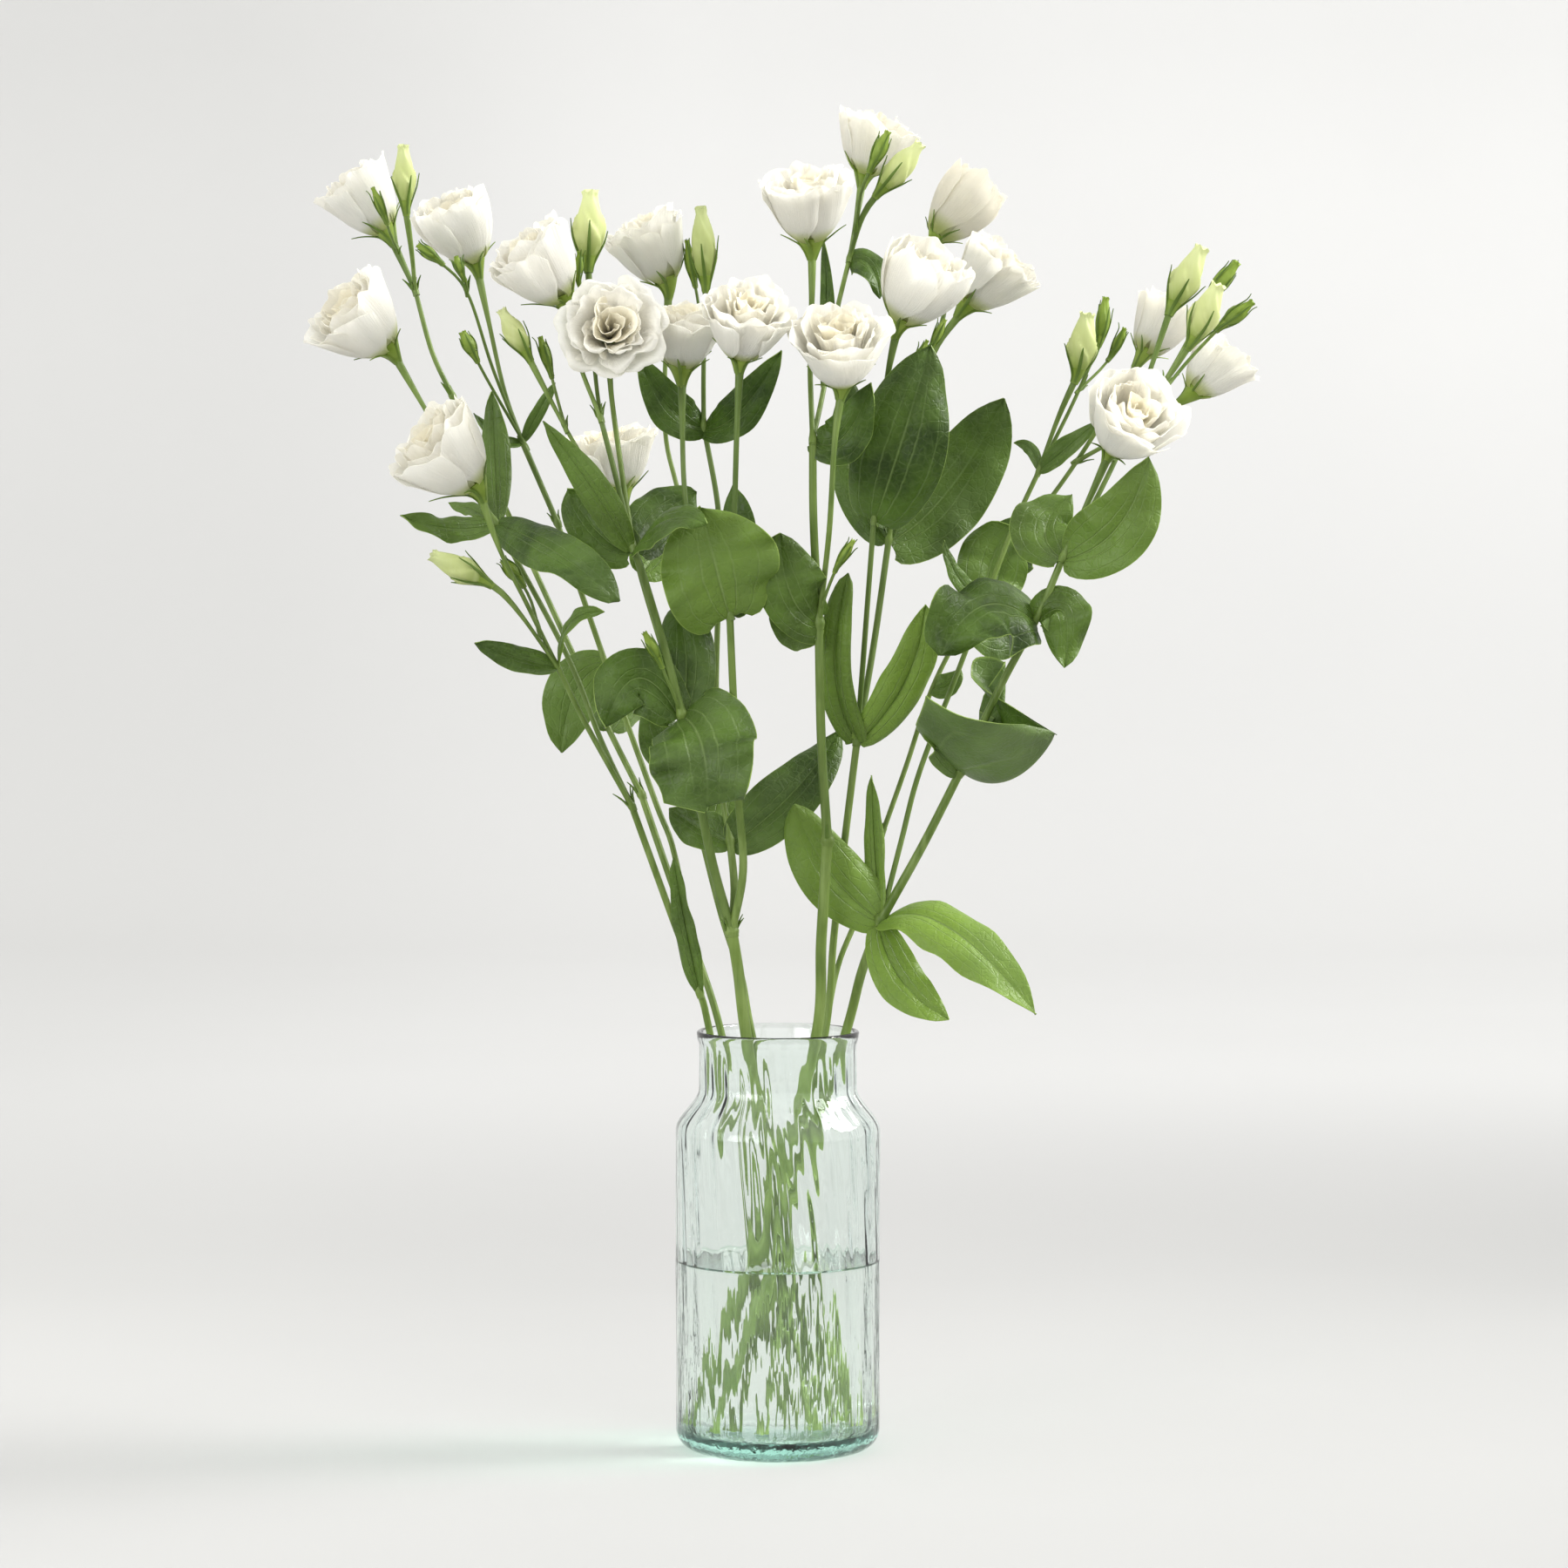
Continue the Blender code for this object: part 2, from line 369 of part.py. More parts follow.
def spindle(base, tip, width, sides, shares):
    """A closed pointed body from base to tip, through rings given as (share of the length, share of the width)."""
    along = (tip - base).normalized()
    side = along.orthogonal().normalized()
    other = along.cross(side)
    points, faces = [base.copy()], []
    for k, (way, wide) in enumerate(shares):
        for n in range(sides):
            turn = 2 * math.pi * (n + 0.5 * k) / sides
            out = (side * math.cos(turn) + other * math.sin(turn)) * width / 2 * wide
            points.append(base.lerp(tip, way) + out)
    points.append(tip.copy())
    last = len(points) - 1
    for n in range(sides):
        after = (n + 1) % sides
        faces.append((0, 1 + after, 1 + n))
        faces.append((last, last - sides + n, last - sides + after))
        for k in range(len(shares) - 1):
            low, high = 1 + k * sides, 1 + (k + 1) * sides
            faces += [(low + n, low + after, high + n), (low + after, high + after, high + n)]
    return points, facing_out(points, faces)


def fuse(name, shapes, look):
    """One object from overlapping closed shapes: a Boolean union, applied, with any loose scrap dropped."""
    whole = mesh_object(name, *shapes[0], look)
    others = bpy.data.collections.new(name + "_pieces")
    bpy.context.scene.collection.children.link(others)
    for k, shape in enumerate(shapes[1:]):
        piece = mesh_object(f"{name}_piece_{k}", *shape)
        bpy.context.scene.collection.objects.unlink(piece)
        others.objects.link(piece)
    union = whole.modifiers.new("union", "BOOLEAN")
    union.operation = "UNION"
    union.operand_type = "COLLECTION"
    union.collection = others
    union.solver = "MANIFOLD"
    evaluated = whole.evaluated_get(bpy.context.evaluated_depsgraph_get())
    fused = bpy.data.meshes.new_from_object(evaluated)
    whole.modifiers.clear()
    whole.data = fused
    for piece in list(others.objects):
        bpy.data.objects.remove(piece)
    bpy.data.collections.remove(others)
    keep_largest_body(fused)
    return whole


def keep_largest_body(mesh):
    """Drops every body of the mesh but the one with the most volume, sealed hollows among them."""
    work = bmesh.new()
    work.from_mesh(mesh)
    bmesh.ops.triangulate(work, faces=work.faces)
    merge_short_edges(work)
    left = set(work.faces)
    bodies = []
    while left:
        group, border = set(), [left.pop()]
        while border:
            face = border.pop()
            group.add(face)
            for edge in face.edges:
                for near in edge.link_faces:
                    if near in left:
                        left.discard(near)
                        border.append(near)
        volume = sum(f.verts[0].co.dot(f.verts[1].co.cross(f.verts[2].co)) for f in group)
        bodies.append((volume, group))
    largest = max(bodies, key=lambda body: body[0])[1]
    bmesh.ops.delete(work, geom=[f for f in work.faces if f not in largest], context="FACES")
    loose = [v for v in work.verts if not v.link_faces]
    bmesh.ops.delete(work, geom=loose, context="VERTS")
    work.to_mesh(mesh)
    work.free()


def merge_short_edges(work):
    """Draws the ends of very short edges together, where the surface stays closed."""
    found = True
    while found:
        found = False
        for edge in list(work.edges):
            if not edge.is_valid or edge.calc_length() > SLIVER * MM:
                continue
            a, b = edge.verts
            shared = {e.other_vert(a) for e in a.link_edges} & {e.other_vert(b) for e in b.link_edges}
            if len(shared) == 2:
                bmesh.ops.pointmerge(work, verts=[a, b], merge_co=(a.co + b.co) / 2)
                found = True


def turned(profile, sides):
    """The closed shape of a profile of (radius, height) turned round Z."""
    points, faces = [], []
    for radius, height in profile:
        for n in range(sides):
            turn = 2 * math.pi * n / sides
            points.append(Vector((radius * math.cos(turn), radius * math.sin(turn), height)))
    rings = len(profile)
    for k in range(rings - 1):
        for n in range(sides):
            a, b = k * sides + n, k * sides + (n + 1) % sides
            faces.append((a, b, b + sides, a + sides))
    faces.append(tuple(range(sides))[::-1])
    faces.append(tuple(range((rings - 1) * sides, rings * sides)))
    return points, facing_out(points, faces)


def vase_outside():
    """The outer profile, foot to lip, as (radius, height)."""
    corner = [
        (BODY_RADIUS - FOOT_CORNER * (1 - math.sin(a)), FOOT_CORNER * (1 - math.cos(a)))
        for a in (0.0, 0.8, math.pi / 2)
    ]
    shoulder = [
        (BODY_RADIUS + (NECK_RADIUS - BODY_RADIUS) * (0.5 - 0.5 * math.cos(math.pi * t)),
         SHOULDER_FOOT + (SHOULDER_TOP - SHOULDER_FOOT) * t)
        for t in (0.0, 0.33, 0.67, 1.0)
    ]
    lip = [(NECK_RADIUS, VASE_HEIGHT - 6), (LIP_RADIUS, VASE_HEIGHT - 1.5), (LIP_RADIUS - 0.6, VASE_HEIGHT)]
    return corner + shoulder + lip


def vase_inside():
    """The inner profile, lip to floor."""
    lip = [(LIP_RADIUS - 2.2, VASE_HEIGHT), (NECK_RADIUS - WALL, VASE_HEIGHT - 5)]
    walls = [(radius - WALL, height) for radius, height in reversed(vase_outside()[3:7])]
    corner = [
        (BODY_RADIUS - WALL - 9 * (1 - math.cos(a)), FLOOR + 9 * (1 - math.sin(a)))
        for a in (0.0, 0.8, math.pi / 2)
    ]
    return lip + walls + corner


def make_vase():
    return mesh_object("vase", *turned(vase_outside() + vase_inside(), VASE_SIDES), "glass")


def foot_and_rim(name):
    """The trunk's straight way in the vase, from its cut foot to the rim."""
    foot, places, first, last = TRUNKS[name]
    return Vector((*foot, FLOOR + 1.0)), seen(*places[0])


def make_water():
    """The water, which fills the vase to WATER_TOP, with a hole for each stem."""
    corner = BODY_RADIUS - WALL - GAP
    profile = [
        (corner - 9, FLOOR + GAP), (corner - 2.6, FLOOR + 3.2), (corner, FLOOR + 9.5), (corner, WATER_TOP),
    ]
    water = mesh_object("water", *turned(profile, VASE_SIDES), "water")
    holes = bpy.data.collections.new("stem_holes")
    bpy.context.scene.collection.children.link(holes)
    for name, (foot, places, first, last) in TRUNKS.items():
        low, high = foot_and_rim(name)
        reach = (high - low).normalized()
        way = [low - reach * 8, low.lerp(high, 0.75)]
        hole = mesh_object("hole_" + name, *tube(way, first + GAP + 0.25, first + GAP + 0.25, STEM_SIDES))
        bpy.context.scene.collection.objects.unlink(hole)
        holes.objects.link(hole)
    cut = water.modifiers.new("holes", "BOOLEAN")
    cut.operation = "DIFFERENCE"
    cut.operand_type = "COLLECTION"
    cut.collection = holes
    cut.solver = "MANIFOLD"
    evaluated = water.evaluated_get(bpy.context.evaluated_depsgraph_get())
    drilled = bpy.data.meshes.new_from_object(evaluated)
    water.modifiers.clear()
    water.data = drilled
    for hole in list(holes.objects):
        bpy.data.objects.remove(hole)
    bpy.data.collections.remove(holes)
    return water


def leaf(base, middle, tip, width, face, fold):
    """A pointed oval leaf along an arched rib, as a closed blade."""
    control = middle * 2 - (base + tip) / 2
    columns = (-1, 1) if width < NARROW_LEAF else (-1, 0, 1)
    rows = []
    for r in range(LEAF_ROWS):
        t = r / (LEAF_ROWS - 1)
        rib = base * (1 - t) ** 2 + control * (2 * t * (1 - t)) + tip * t**2
        along = ((control - base) * (1 - t) + (tip - control) * t).normalized()
        across = along.cross(face).normalized()
        up = across.cross(along)
        half = width / 2 * leaf_width(t)
        lift = math.radians(fold)
        rows.append([rib + (across * c * math.cos(lift) + up * abs(c) * math.sin(lift)) * half for c in columns])
    return blade(rows, LEAF_THICK)


def leaf_width(t):
    """The width at t from the base to the tip, as a share of the widest."""
    return 0.07 + 0.93 * math.sin(math.pi * t**0.8) ** 0.8 if 0 < t < 1 else 0.07 + 0.1 * (t == 0)


def bloom_frame(base, heart):
    """Axis and two sides of a bloom."""
    axis = (heart - base).normalized()
    side = axis.orthogonal().normalized()
    return axis, side, axis.cross(side)


def cup_radius(share, width):
    """The bloom's outer radius in mm at a share of its height."""
    return CUP_FOOT + (width / 2 - CUP_FOOT) * math.sin(min(share, 1) * math.pi / 2) ** 0.8


def strip(low, high):
    """Triangles between two rows of point numbers, walked together from their first to their last."""
    faces = []
    i = j = 0
    while i < len(low) - 1 or j < len(high) - 1:
        up = (j + 1) / (len(high) - 1) if j < len(high) - 1 else 2
        down = (i + 1) / (len(low) - 1) if i < len(low) - 1 else 2
        if up < down:
            faces.append((low[i], high[j + 1], high[j]))
            j += 1
        else:
            faces.append((low[i], low[i + 1], high[j]))
            i += 1
    return faces


def crown(base, frame, turn, foot, outer, inner, blades):
    """A closed small cup with blades that rise from its rim.

    foot, outer and inner are the rings of its underside, its rim and its floor, each as (distance along the
    axis, radius). Each blade is a list of rows of (outer face point, inner face point) pairs.
    """
    axis, side, other = frame
    count = len(blades)
    points = []
    for along, radius in (foot, outer, inner):
        for n in range(count):
            angle = turn + 2 * math.pi * (n - 0.5) / count
            points.append(base + axis * along + (side * math.cos(angle) + other * math.sin(angle)) * radius)
    faces = [tuple(range(count))[::-1], tuple(range(2 * count, 3 * count))]
    for n, rows in enumerate(blades):
        after = (n + 1) % count
        faces.append((n, after, count + after, count + n))
        front, back = [[count + n, count + after]], [[2 * count + n, 2 * count + after]]
        for row in rows:
            first = len(points)
            points += [pair[0] for pair in row] + [pair[1] for pair in row]
            front.append(list(range(first, first + len(row))))
            back.append(list(range(first + len(row), first + 2 * len(row))))
        for low, high in zip(front, front[1:]):
            faces += strip(low, high)
        for low, high in zip(back, back[1:]):
            faces += [face[::-1] for face in strip(low, high)]
        rim = [row[-1] for row in front] + front[-1][-2::-1] + [row[0] for row in front[-2::-1]]
        mate = [row[-1] for row in back] + back[-1][-2::-1] + [row[0] for row in back[-2::-1]]
        for a, b, c, d in zip(rim, rim[1:], mate, mate[1:]):
            faces += [(b, a, c), (b, c, d)]
    return points, facing_out(points, faces)


def sepal_ring(base, frame, count, foot, tip):
    """A green cup with thin pointed sepals, foot and tip as (distance along the axis, radius)."""
    axis, side, other = frame
    blades = []
    for n in range(count):
        angle = 2 * math.pi * n / count
        out = side * math.cos(angle) + other * math.sin(angle)
        end = base + axis * tip[0] + out * tip[1]
        thick = (axis * tip[1] - out * tip[0]).normalized() * SEPAL_THICK / 2
        blades.append([[(end - thick, end + thick)]])
    return crown(base, frame, 0, foot, (-1.3, CUP_RIM), (-GAP - 0.2, CUP_RIM - 1.1), blades)


def calyx(base, heart, width, height):
    """The green cup under a bloom."""
    tip = (0.2 * height, cup_radius(0.2, width) + SEPAL_CLEAR)
    return sepal_ring(base, bloom_frame(base, heart), SEPALS, (-CUP_LENGTH, 1.3), tip)


def bud_cup(base, tip, width):
    """The green cup of a large bud."""
    length = (tip - base).length
    end = (0.3 * length, width * 0.5 + SEPAL_CLEAR)
    return sepal_ring(base, bloom_frame(base, tip), BUD_SEPALS, (-CUP_LENGTH * 0.7, 1.1), end)


def petal_rows(base, frame, width, height, angle, half_turn):
    """The two rows of a cupped petal above its root."""
    axis, side, other = frame
    rows = []
    for share in (0.5, 1.0):
        row = []
        for c in (-1, 0, 1):
            turn = angle + c * math.radians(half_turn)
            top = share - 0.1 * abs(c) * share**2
            out = side * math.cos(turn) + other * math.sin(turn)
            middle = base + axis * (height * top) + out * cup_radius(top, width)
            thick = (out * 0.8 - axis * 0.6) * PETAL_THICK / 2
            row.append((middle + thick, middle - thick))
        rows.append(row)
    return rows


def make_bloom(name, base, heart, width, height, draw):
    """The petals of one bloom in three rings, as one white body."""
    frame = bloom_frame(base, heart)
    spin = draw.uniform(0, 2 * math.pi)
    shapes = []
    for ring, (count, wide, tall, half_turn, floor, radius) in enumerate(PETAL_RINGS):
        turn = spin + 0.6 * ring
        blades = []
        for n in range(count):
            lift = 1 - 0.06 * draw.random()
            angle = turn + 2 * math.pi * n / count
            blades.append(petal_rows(base, frame, width * wide, height * tall * lift, angle, half_turn))
        shapes.append(crown(base, frame, turn, (GAP + 0.3 * ring, radius * 0.7), (floor - 1.6, radius),
                            (floor, radius * 0.75), blades))
    return fuse(name, shapes, "white")


def make_bud(name, base, tip, width):
    """The furled petals of a closed bud."""
    axis = (tip - base).normalized()
    shape = spindle(base + axis * GAP, tip, width, 7, BUD_RINGS)
    return mesh_object(name, *shape, "bud")


def make_stem(name):
    """One whole stem: trunk, branches, leaves, green buds and the cups that hold its blooms and buds."""
    foot, places, first, last = TRUNKS[name]
    low, high = foot_and_rim(name)
    way = [low.lerp(high, t) for t in (0.0, 0.5)] + [seen(*p) for p in places]
    shapes = [tube(way, first, last, STEM_SIDES)]
    cups = {row[1] for row in BLOOMS + BUDS}
    for stem, places, first, last in BRANCHES:
        if stem == name:
            way = [seen(*p) for p in places]
            if places[-1] in cups:
                way[-1] += (way[-2] - way[-1]).normalized() * CUP_SINK
            shapes.append(tube(way, first, last, BRANCH_SIDES))
    for stem, base, middle, tip, width, face, fold in LEAVES:
        if stem == name:
            face = Vector(face).normalized()
            shapes.append(leaf(seen(*base), seen(*middle), seen(*tip), width, face, fold))
    for stem, base, tip, width in GREEN_BUDS:
        if stem == name:
            low, high = seen(*base), seen(*tip)
            shapes.append(spindle(low + (low - high).normalized() * BUD_ROOT, high, width, 5, GREEN_BUD_RINGS))
    for stem, base, heart, width, height in BLOOMS:
        if stem == name:
            shapes.append(calyx(seen(*base), seen(*heart), width, height))
    for stem, base, tip, width in BUDS:
        if stem == name:
            shapes.append(bud_cup(seen(*base), seen(*tip), width))
    return fuse(name, shapes, "green")


def main():
    clear_scene()
    draw = random.Random(SEED)
    make_vase()
    make_water()
    for name in TRUNKS:
        make_stem(name)
    for number, (stem, base, heart, width, height) in enumerate(BLOOMS, 1):
        make_bloom(f"bloom_{number:02d}", seen(*base), seen(*heart), width, height, draw)
    for number, (stem, base, tip, width) in enumerate(BUDS, 1):
        make_bud(f"bud_{number:02d}", seen(*base), seen(*tip), width)


main()
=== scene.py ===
# Looks for a glass vase of white lisianthus: rippled glass, water, leafy stems, ruffled double
# blooms and buds.
import math
import random

import bpy
import numpy as np
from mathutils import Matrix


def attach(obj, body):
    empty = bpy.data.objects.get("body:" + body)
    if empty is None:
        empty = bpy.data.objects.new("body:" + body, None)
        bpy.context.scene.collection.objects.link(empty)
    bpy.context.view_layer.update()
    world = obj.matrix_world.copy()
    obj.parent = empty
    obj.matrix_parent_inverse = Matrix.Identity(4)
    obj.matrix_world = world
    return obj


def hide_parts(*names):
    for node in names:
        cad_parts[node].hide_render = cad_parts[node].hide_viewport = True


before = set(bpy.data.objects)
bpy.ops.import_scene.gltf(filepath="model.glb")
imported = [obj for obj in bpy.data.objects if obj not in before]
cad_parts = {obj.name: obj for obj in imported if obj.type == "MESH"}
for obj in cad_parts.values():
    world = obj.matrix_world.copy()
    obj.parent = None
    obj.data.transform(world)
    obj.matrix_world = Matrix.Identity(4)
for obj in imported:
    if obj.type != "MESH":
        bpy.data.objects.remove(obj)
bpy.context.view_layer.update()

MM = 0.001
SEED = 11

# The vase, in mm.
VASE_HEIGHT = 220.0
BODY_RADIUS = 53.5
NECK_RADIUS = 41.2
LIP_RADIUS = 42.6
WALL = 3.0
FLOOR = 10.0
FOOT_CORNER = 11.0
SHOULDER_TOP = 190.0
SHOULDER_FOOT = 168.0
WATER_TOP = 100.0

# A place on the plant is given as it is seen from the front, in view units, with its depth in mm behind
# the vase's axis. One unit on the vase's axis is UNIT mm. The eye is level with EYE_HEIGHT.
UNIT = 1 / 2.2
VIEW_AXIS = 893
VIEW_BASE = 1668
EYE_DISTANCE = 2500.0
EYE_HEIGHT = 467.0
VIEW_WIDTH = 1800


def seen(x, y, depth):
    """The point in mm that is seen at (x, y) and lies that far behind the vase's axis."""
    away = 1 + depth / EYE_DISTANCE
    height = (VIEW_BASE - y) * UNIT
    return np.array([(x - VIEW_AXIS) * UNIT * away, depth, EYE_HEIGHT + (height - EYE_HEIGHT) * away])


# Each stem's trunk: where its cut foot stands on the vase's floor, in mm, then places from the rim up, with
# its radius in mm at the foot and at the top.
TRUNKS = {
    "stem_left_front": ((7, 3), [(814, 1184, -3), (803, 1140, -10), (770, 1050, -20), (725, 925, -32)],
                        2.1, 1.8),
    "stem_left_back": ((15, -7), [(827, 1184, 16), (801, 1100, 22), (766, 1000, 30), (736, 912, 36)],
                       2.1, 1.9),
    "stem_middle_left": ((17, 37), [(856, 1186, -29), (848, 1120, -30), (840, 1070, -32)], 3.2, 3.0),
    "stem_back": ((31, -1), [(862, 1184, 27), (850, 1120, 32), (828, 1050, 40), (805, 960, 48)], 2.3, 1.9),
    "stem_middle": ((-35, 4), [(938, 1186, -26), (943, 1080, -30), (950, 965, -34)], 3.0, 2.8),
    "stem_middle_right": ((-19, -12), [(948, 1184, 2), (957, 1080, 0), (968, 980, -10), (984, 850, -16)],
                          2.1, 1.9),
    "stem_right": ((-30, -23), [(972, 1184, -3), (990, 1115, -10), (1012, 1056, -18)], 2.7, 2.5),
    "stem_right_back": ((-8, -23), [(948, 1184, 25), (962, 1110, 32), (985, 1050, 40), (1010, 965, 46)],
                        1.7, 1.5),
}

# Branches of each stem: places from the fork on, and the radius in mm at the fork and at the tip.
BRANCHES = {
    "stem_left_front": [
        ([(725, 925, -32), (672, 830, -44), (640, 765, -50)], 1.5, 1.4),
        ([(640, 765, -50), (606, 695, -54), (573, 628, -58), (550, 560, -58)], 1.2, 1.2),
        ([(640, 765, -50), (600, 708, -60), (576, 680, -64), (557, 667, -66)], 1.1, 1.0),
        ([(620, 727, -52), (610, 690, -46), (597, 665, -44)], 0.9, 0.8),
        ([(725, 925, -32), (690, 850, -28), (650, 750, -26), (570, 600, -30)], 1.5, 1.4),
        ([(570, 600, -30), (537, 550, -26), (495, 480, -22), (450, 402, -20)], 1.3, 1.2),
        ([(803, 1140, -12), (775, 985, -2), (752, 920, 4), (700, 775, 12), (640, 600, 18)], 1.6, 1.5),
        ([(640, 600, 18), (597, 500, 20)], 1.5, 1.7),
        ([(600, 507, 20), (580, 450, 24), (562, 370, 27), (548, 305, 29)], 1.2, 1.2),
        ([(602, 512, 20), (567, 425, 12), (537, 336, 6), (503, 299, 2)], 1.0, 0.8),
        ([(537, 336, 6), (536, 325, 3), (531, 316, 0)], 0.8, 0.7),
        ([(604, 512, 20), (565, 445, 6), (545, 408, -4)], 0.9, 0.8),
    ],
    "stem_left_back": [
        ([(736, 912, 36), (700, 840, 42), (655, 745, 50), (600, 625, 60), (520, 455, 70)], 1.7, 1.4),
        ([(520, 455, 70), (497, 405, 72), (478, 335, 74)], 1.4, 1.3),
        ([(478, 335, 74), (462, 300, 80), (448, 270, 86)], 1.3, 1.2),
        ([(478, 335, 74), (474, 290, 64), (467, 239, 58)], 1.2, 1.1),
        ([(459, 292, 80), (449, 268, 66), (444, 252, 58)], 0.8, 0.7),
    ],
    "stem_middle_left": [
        ([(840, 1070, -32), (820, 1000, -38), (805, 930, -46), (783, 820, -58)], 2.6, 2.2),
        ([(783, 820, -58), (765, 750, -60), (740, 665, -63), (727, 628, -65)], 2.1, 1.9),
        ([(783, 820, -58), (768, 785, -66), (757, 757, -70)], 0.9, 0.8),
        ([(727, 628, -65), (714, 540, -52), (702, 450, -34), (701, 408, -34), (701, 392, -46)], 1.5, 1.3),
        ([(727, 628, -65), (708, 550, -58), (690, 480, -50)], 1.5, 1.4),
        ([(690, 480, -50), (670, 430, -46), (656, 385, -43), (651, 347, -40)], 1.2, 1.2),
        ([(690, 480, -50), (684, 430, -36), (679, 360, -26), (676, 304, -22)], 1.1, 1.1),
        ([(679, 360, -26), (668, 336, -32), (664, 320, -34)], 0.8, 0.7),
        ([(727, 628, -65), (690, 560, -52), (650, 492, -46), (606, 408, -46)], 1.2, 1.0),
        ([(650, 492, -46), (641, 460, -38), (632, 425, -34)], 0.9, 0.8),
        ([(840, 1070, -32), (843, 1020, -26), (838, 965, -20)], 2.2, 2.0),
        ([(838, 965, -20), (828, 900, -12), (822, 800, -2), (826, 650, 6)], 1.7, 1.5),
        ([(826, 650, 6), (824, 580, 9), (808, 490, 12)], 1.5, 1.4),
        ([(808, 490, 12), (808, 420, 14), (811, 327, 16)], 1.3, 1.2),
        ([(809, 400, 14), (802, 350, 22), (797, 322, 26)], 0.9, 0.8),
        ([(826, 650, 6), (790, 590, 16), (775, 550, 22), (763, 480, 28), (768, 328, 34)], 1.3, 1.2),
        ([(840, 1070, -32), (853, 1000, -40), (848, 920, -46), (842, 800, -54), (838, 706, -60)], 2.2, 1.9),
        ([(838, 706, -60), (843, 600, -64), (846, 500, -66), (850, 413, -66)], 1.5, 1.4),
        ([(838, 706, -60), (800, 640, -50), (786, 560, -42), (783, 428, -30)], 1.4, 1.3),
    ],
    "stem_back": [
        ([(805, 960, 48), (790, 880, 54), (770, 780, 62), (735, 660, 74), (713, 566, 82)], 1.7, 1.3),
    ],
    "stem_middle": [
        ([(950, 965, -34), (943, 850, -38), (940, 715, -44)], 2.5, 2.3),
        ([(940, 715, -44), (934, 600, -50), (933, 505, -52)], 2.2, 2.0),
        ([(933, 505, -52), (930, 420, -40), (932, 340, -36), (932, 283, -34)], 1.4, 1.4),
        ([(940, 715, -44), (952, 610, -62), (958, 510, -70), (967, 443, -70)], 1.5, 1.4),
        ([(933, 505, -52), (945, 450, -30), (958, 370, -6), (975, 298, 8)], 1.4, 1.3),
        ([(975, 298, 8), (984, 245, 24), (990, 205, 36)], 1.2, 1.2),
        ([(975, 298, 8), (990, 250, 4), (1010, 221, 2)], 1.2, 1.1),
        ([(982, 270, 6), (988, 225, 0), (1001, 191, -4)], 0.9, 0.8),
        ([(942, 700, -46), (952, 672, -60), (962, 648, -66)], 0.9, 0.8),
    ],
    "stem_middle_right": [
        ([(984, 850, -16), (993, 730, -16), (1003, 597, -16)], 1.5, 1.4),
        ([(1003, 597, -16), (1009, 500, -24), (1019, 430, -32), (1031, 373, -34)], 1.2, 1.2),
        ([(1003, 597, -16), (1012, 540, -10), (1019, 493, -4)], 1.1, 1.0),
        ([(1019, 493, -4), (1034, 455, 0), (1050, 420, 2)], 0.8, 0.7),
        ([(1019, 493, -4), (1042, 445, 6), (1070, 398, 8)], 0.9, 0.7),
        ([(984, 850, -16), (1003, 740, 0), (1020, 620, 12)], 1.8, 1.7),
        ([(1020, 620, 12), (1040, 520, 22), (1070, 410, 32), (1107, 354, 40)], 1.4, 1.2),
        ([(1060, 440, 29), (1085, 350, 54), (1078, 305, 66), (1071, 276, 70)], 1.3, 1.2),
    ],
    "stem_right": [
        ([(1012, 1056, -18), (1060, 970, -24), (1103, 885, -30)], 2.4, 2.2),
        ([(1103, 885, -30), (1150, 785, -38), (1190, 710, -44), (1220, 640, -48)], 2.1, 1.8),
        ([(1220, 640, -48), (1250, 573, -48), (1275, 516, -44)], 1.5, 1.4),
        ([(1220, 640, -48), (1262, 565, -34), (1300, 480, -18), (1343, 354, -4)], 1.4, 1.2),
        ([(1300, 480, -18), (1335, 440, -22), (1367, 393, -26)], 1.2, 1.1),
        ([(1335, 440, -22), (1360, 395, -6), (1386, 342, 2)], 1.0, 0.9),
        ([(1280, 525, -26), (1350, 430, 8), (1401, 374, 14)], 1.1, 0.9),
        ([(1012, 1056, -18), (1035, 965, -8), (1056, 885, -2), (1098, 775, 8), (1130, 690, 14)], 1.5, 1.4),
        ([(1130, 690, 14), (1165, 600, 20), (1192, 541, 24)], 1.4, 1.3),
        ([(1192, 541, 24), (1214, 480, 22), (1236, 431, 20)], 1.2, 1.1),
        ([(1192, 541, 24), (1230, 465, 32), (1262, 392, 38)], 1.1, 0.9),
        ([(1238, 448, 34), (1262, 425, 42), (1276, 408, 46)], 0.8, 0.7),
    ],
    "stem_right_back": [
        ([(1010, 965, 46), (1040, 880, 52), (1070, 790, 58), (1110, 710, 66)], 1.4, 1.3),
        ([(1110, 710, 66), (1170, 620, 76), (1235, 530, 86), (1310, 410, 92)], 1.3, 1.2),
        ([(1235, 530, 86), (1310, 488, 78), (1366, 454, 66)], 1.2, 1.2),
    ],
}

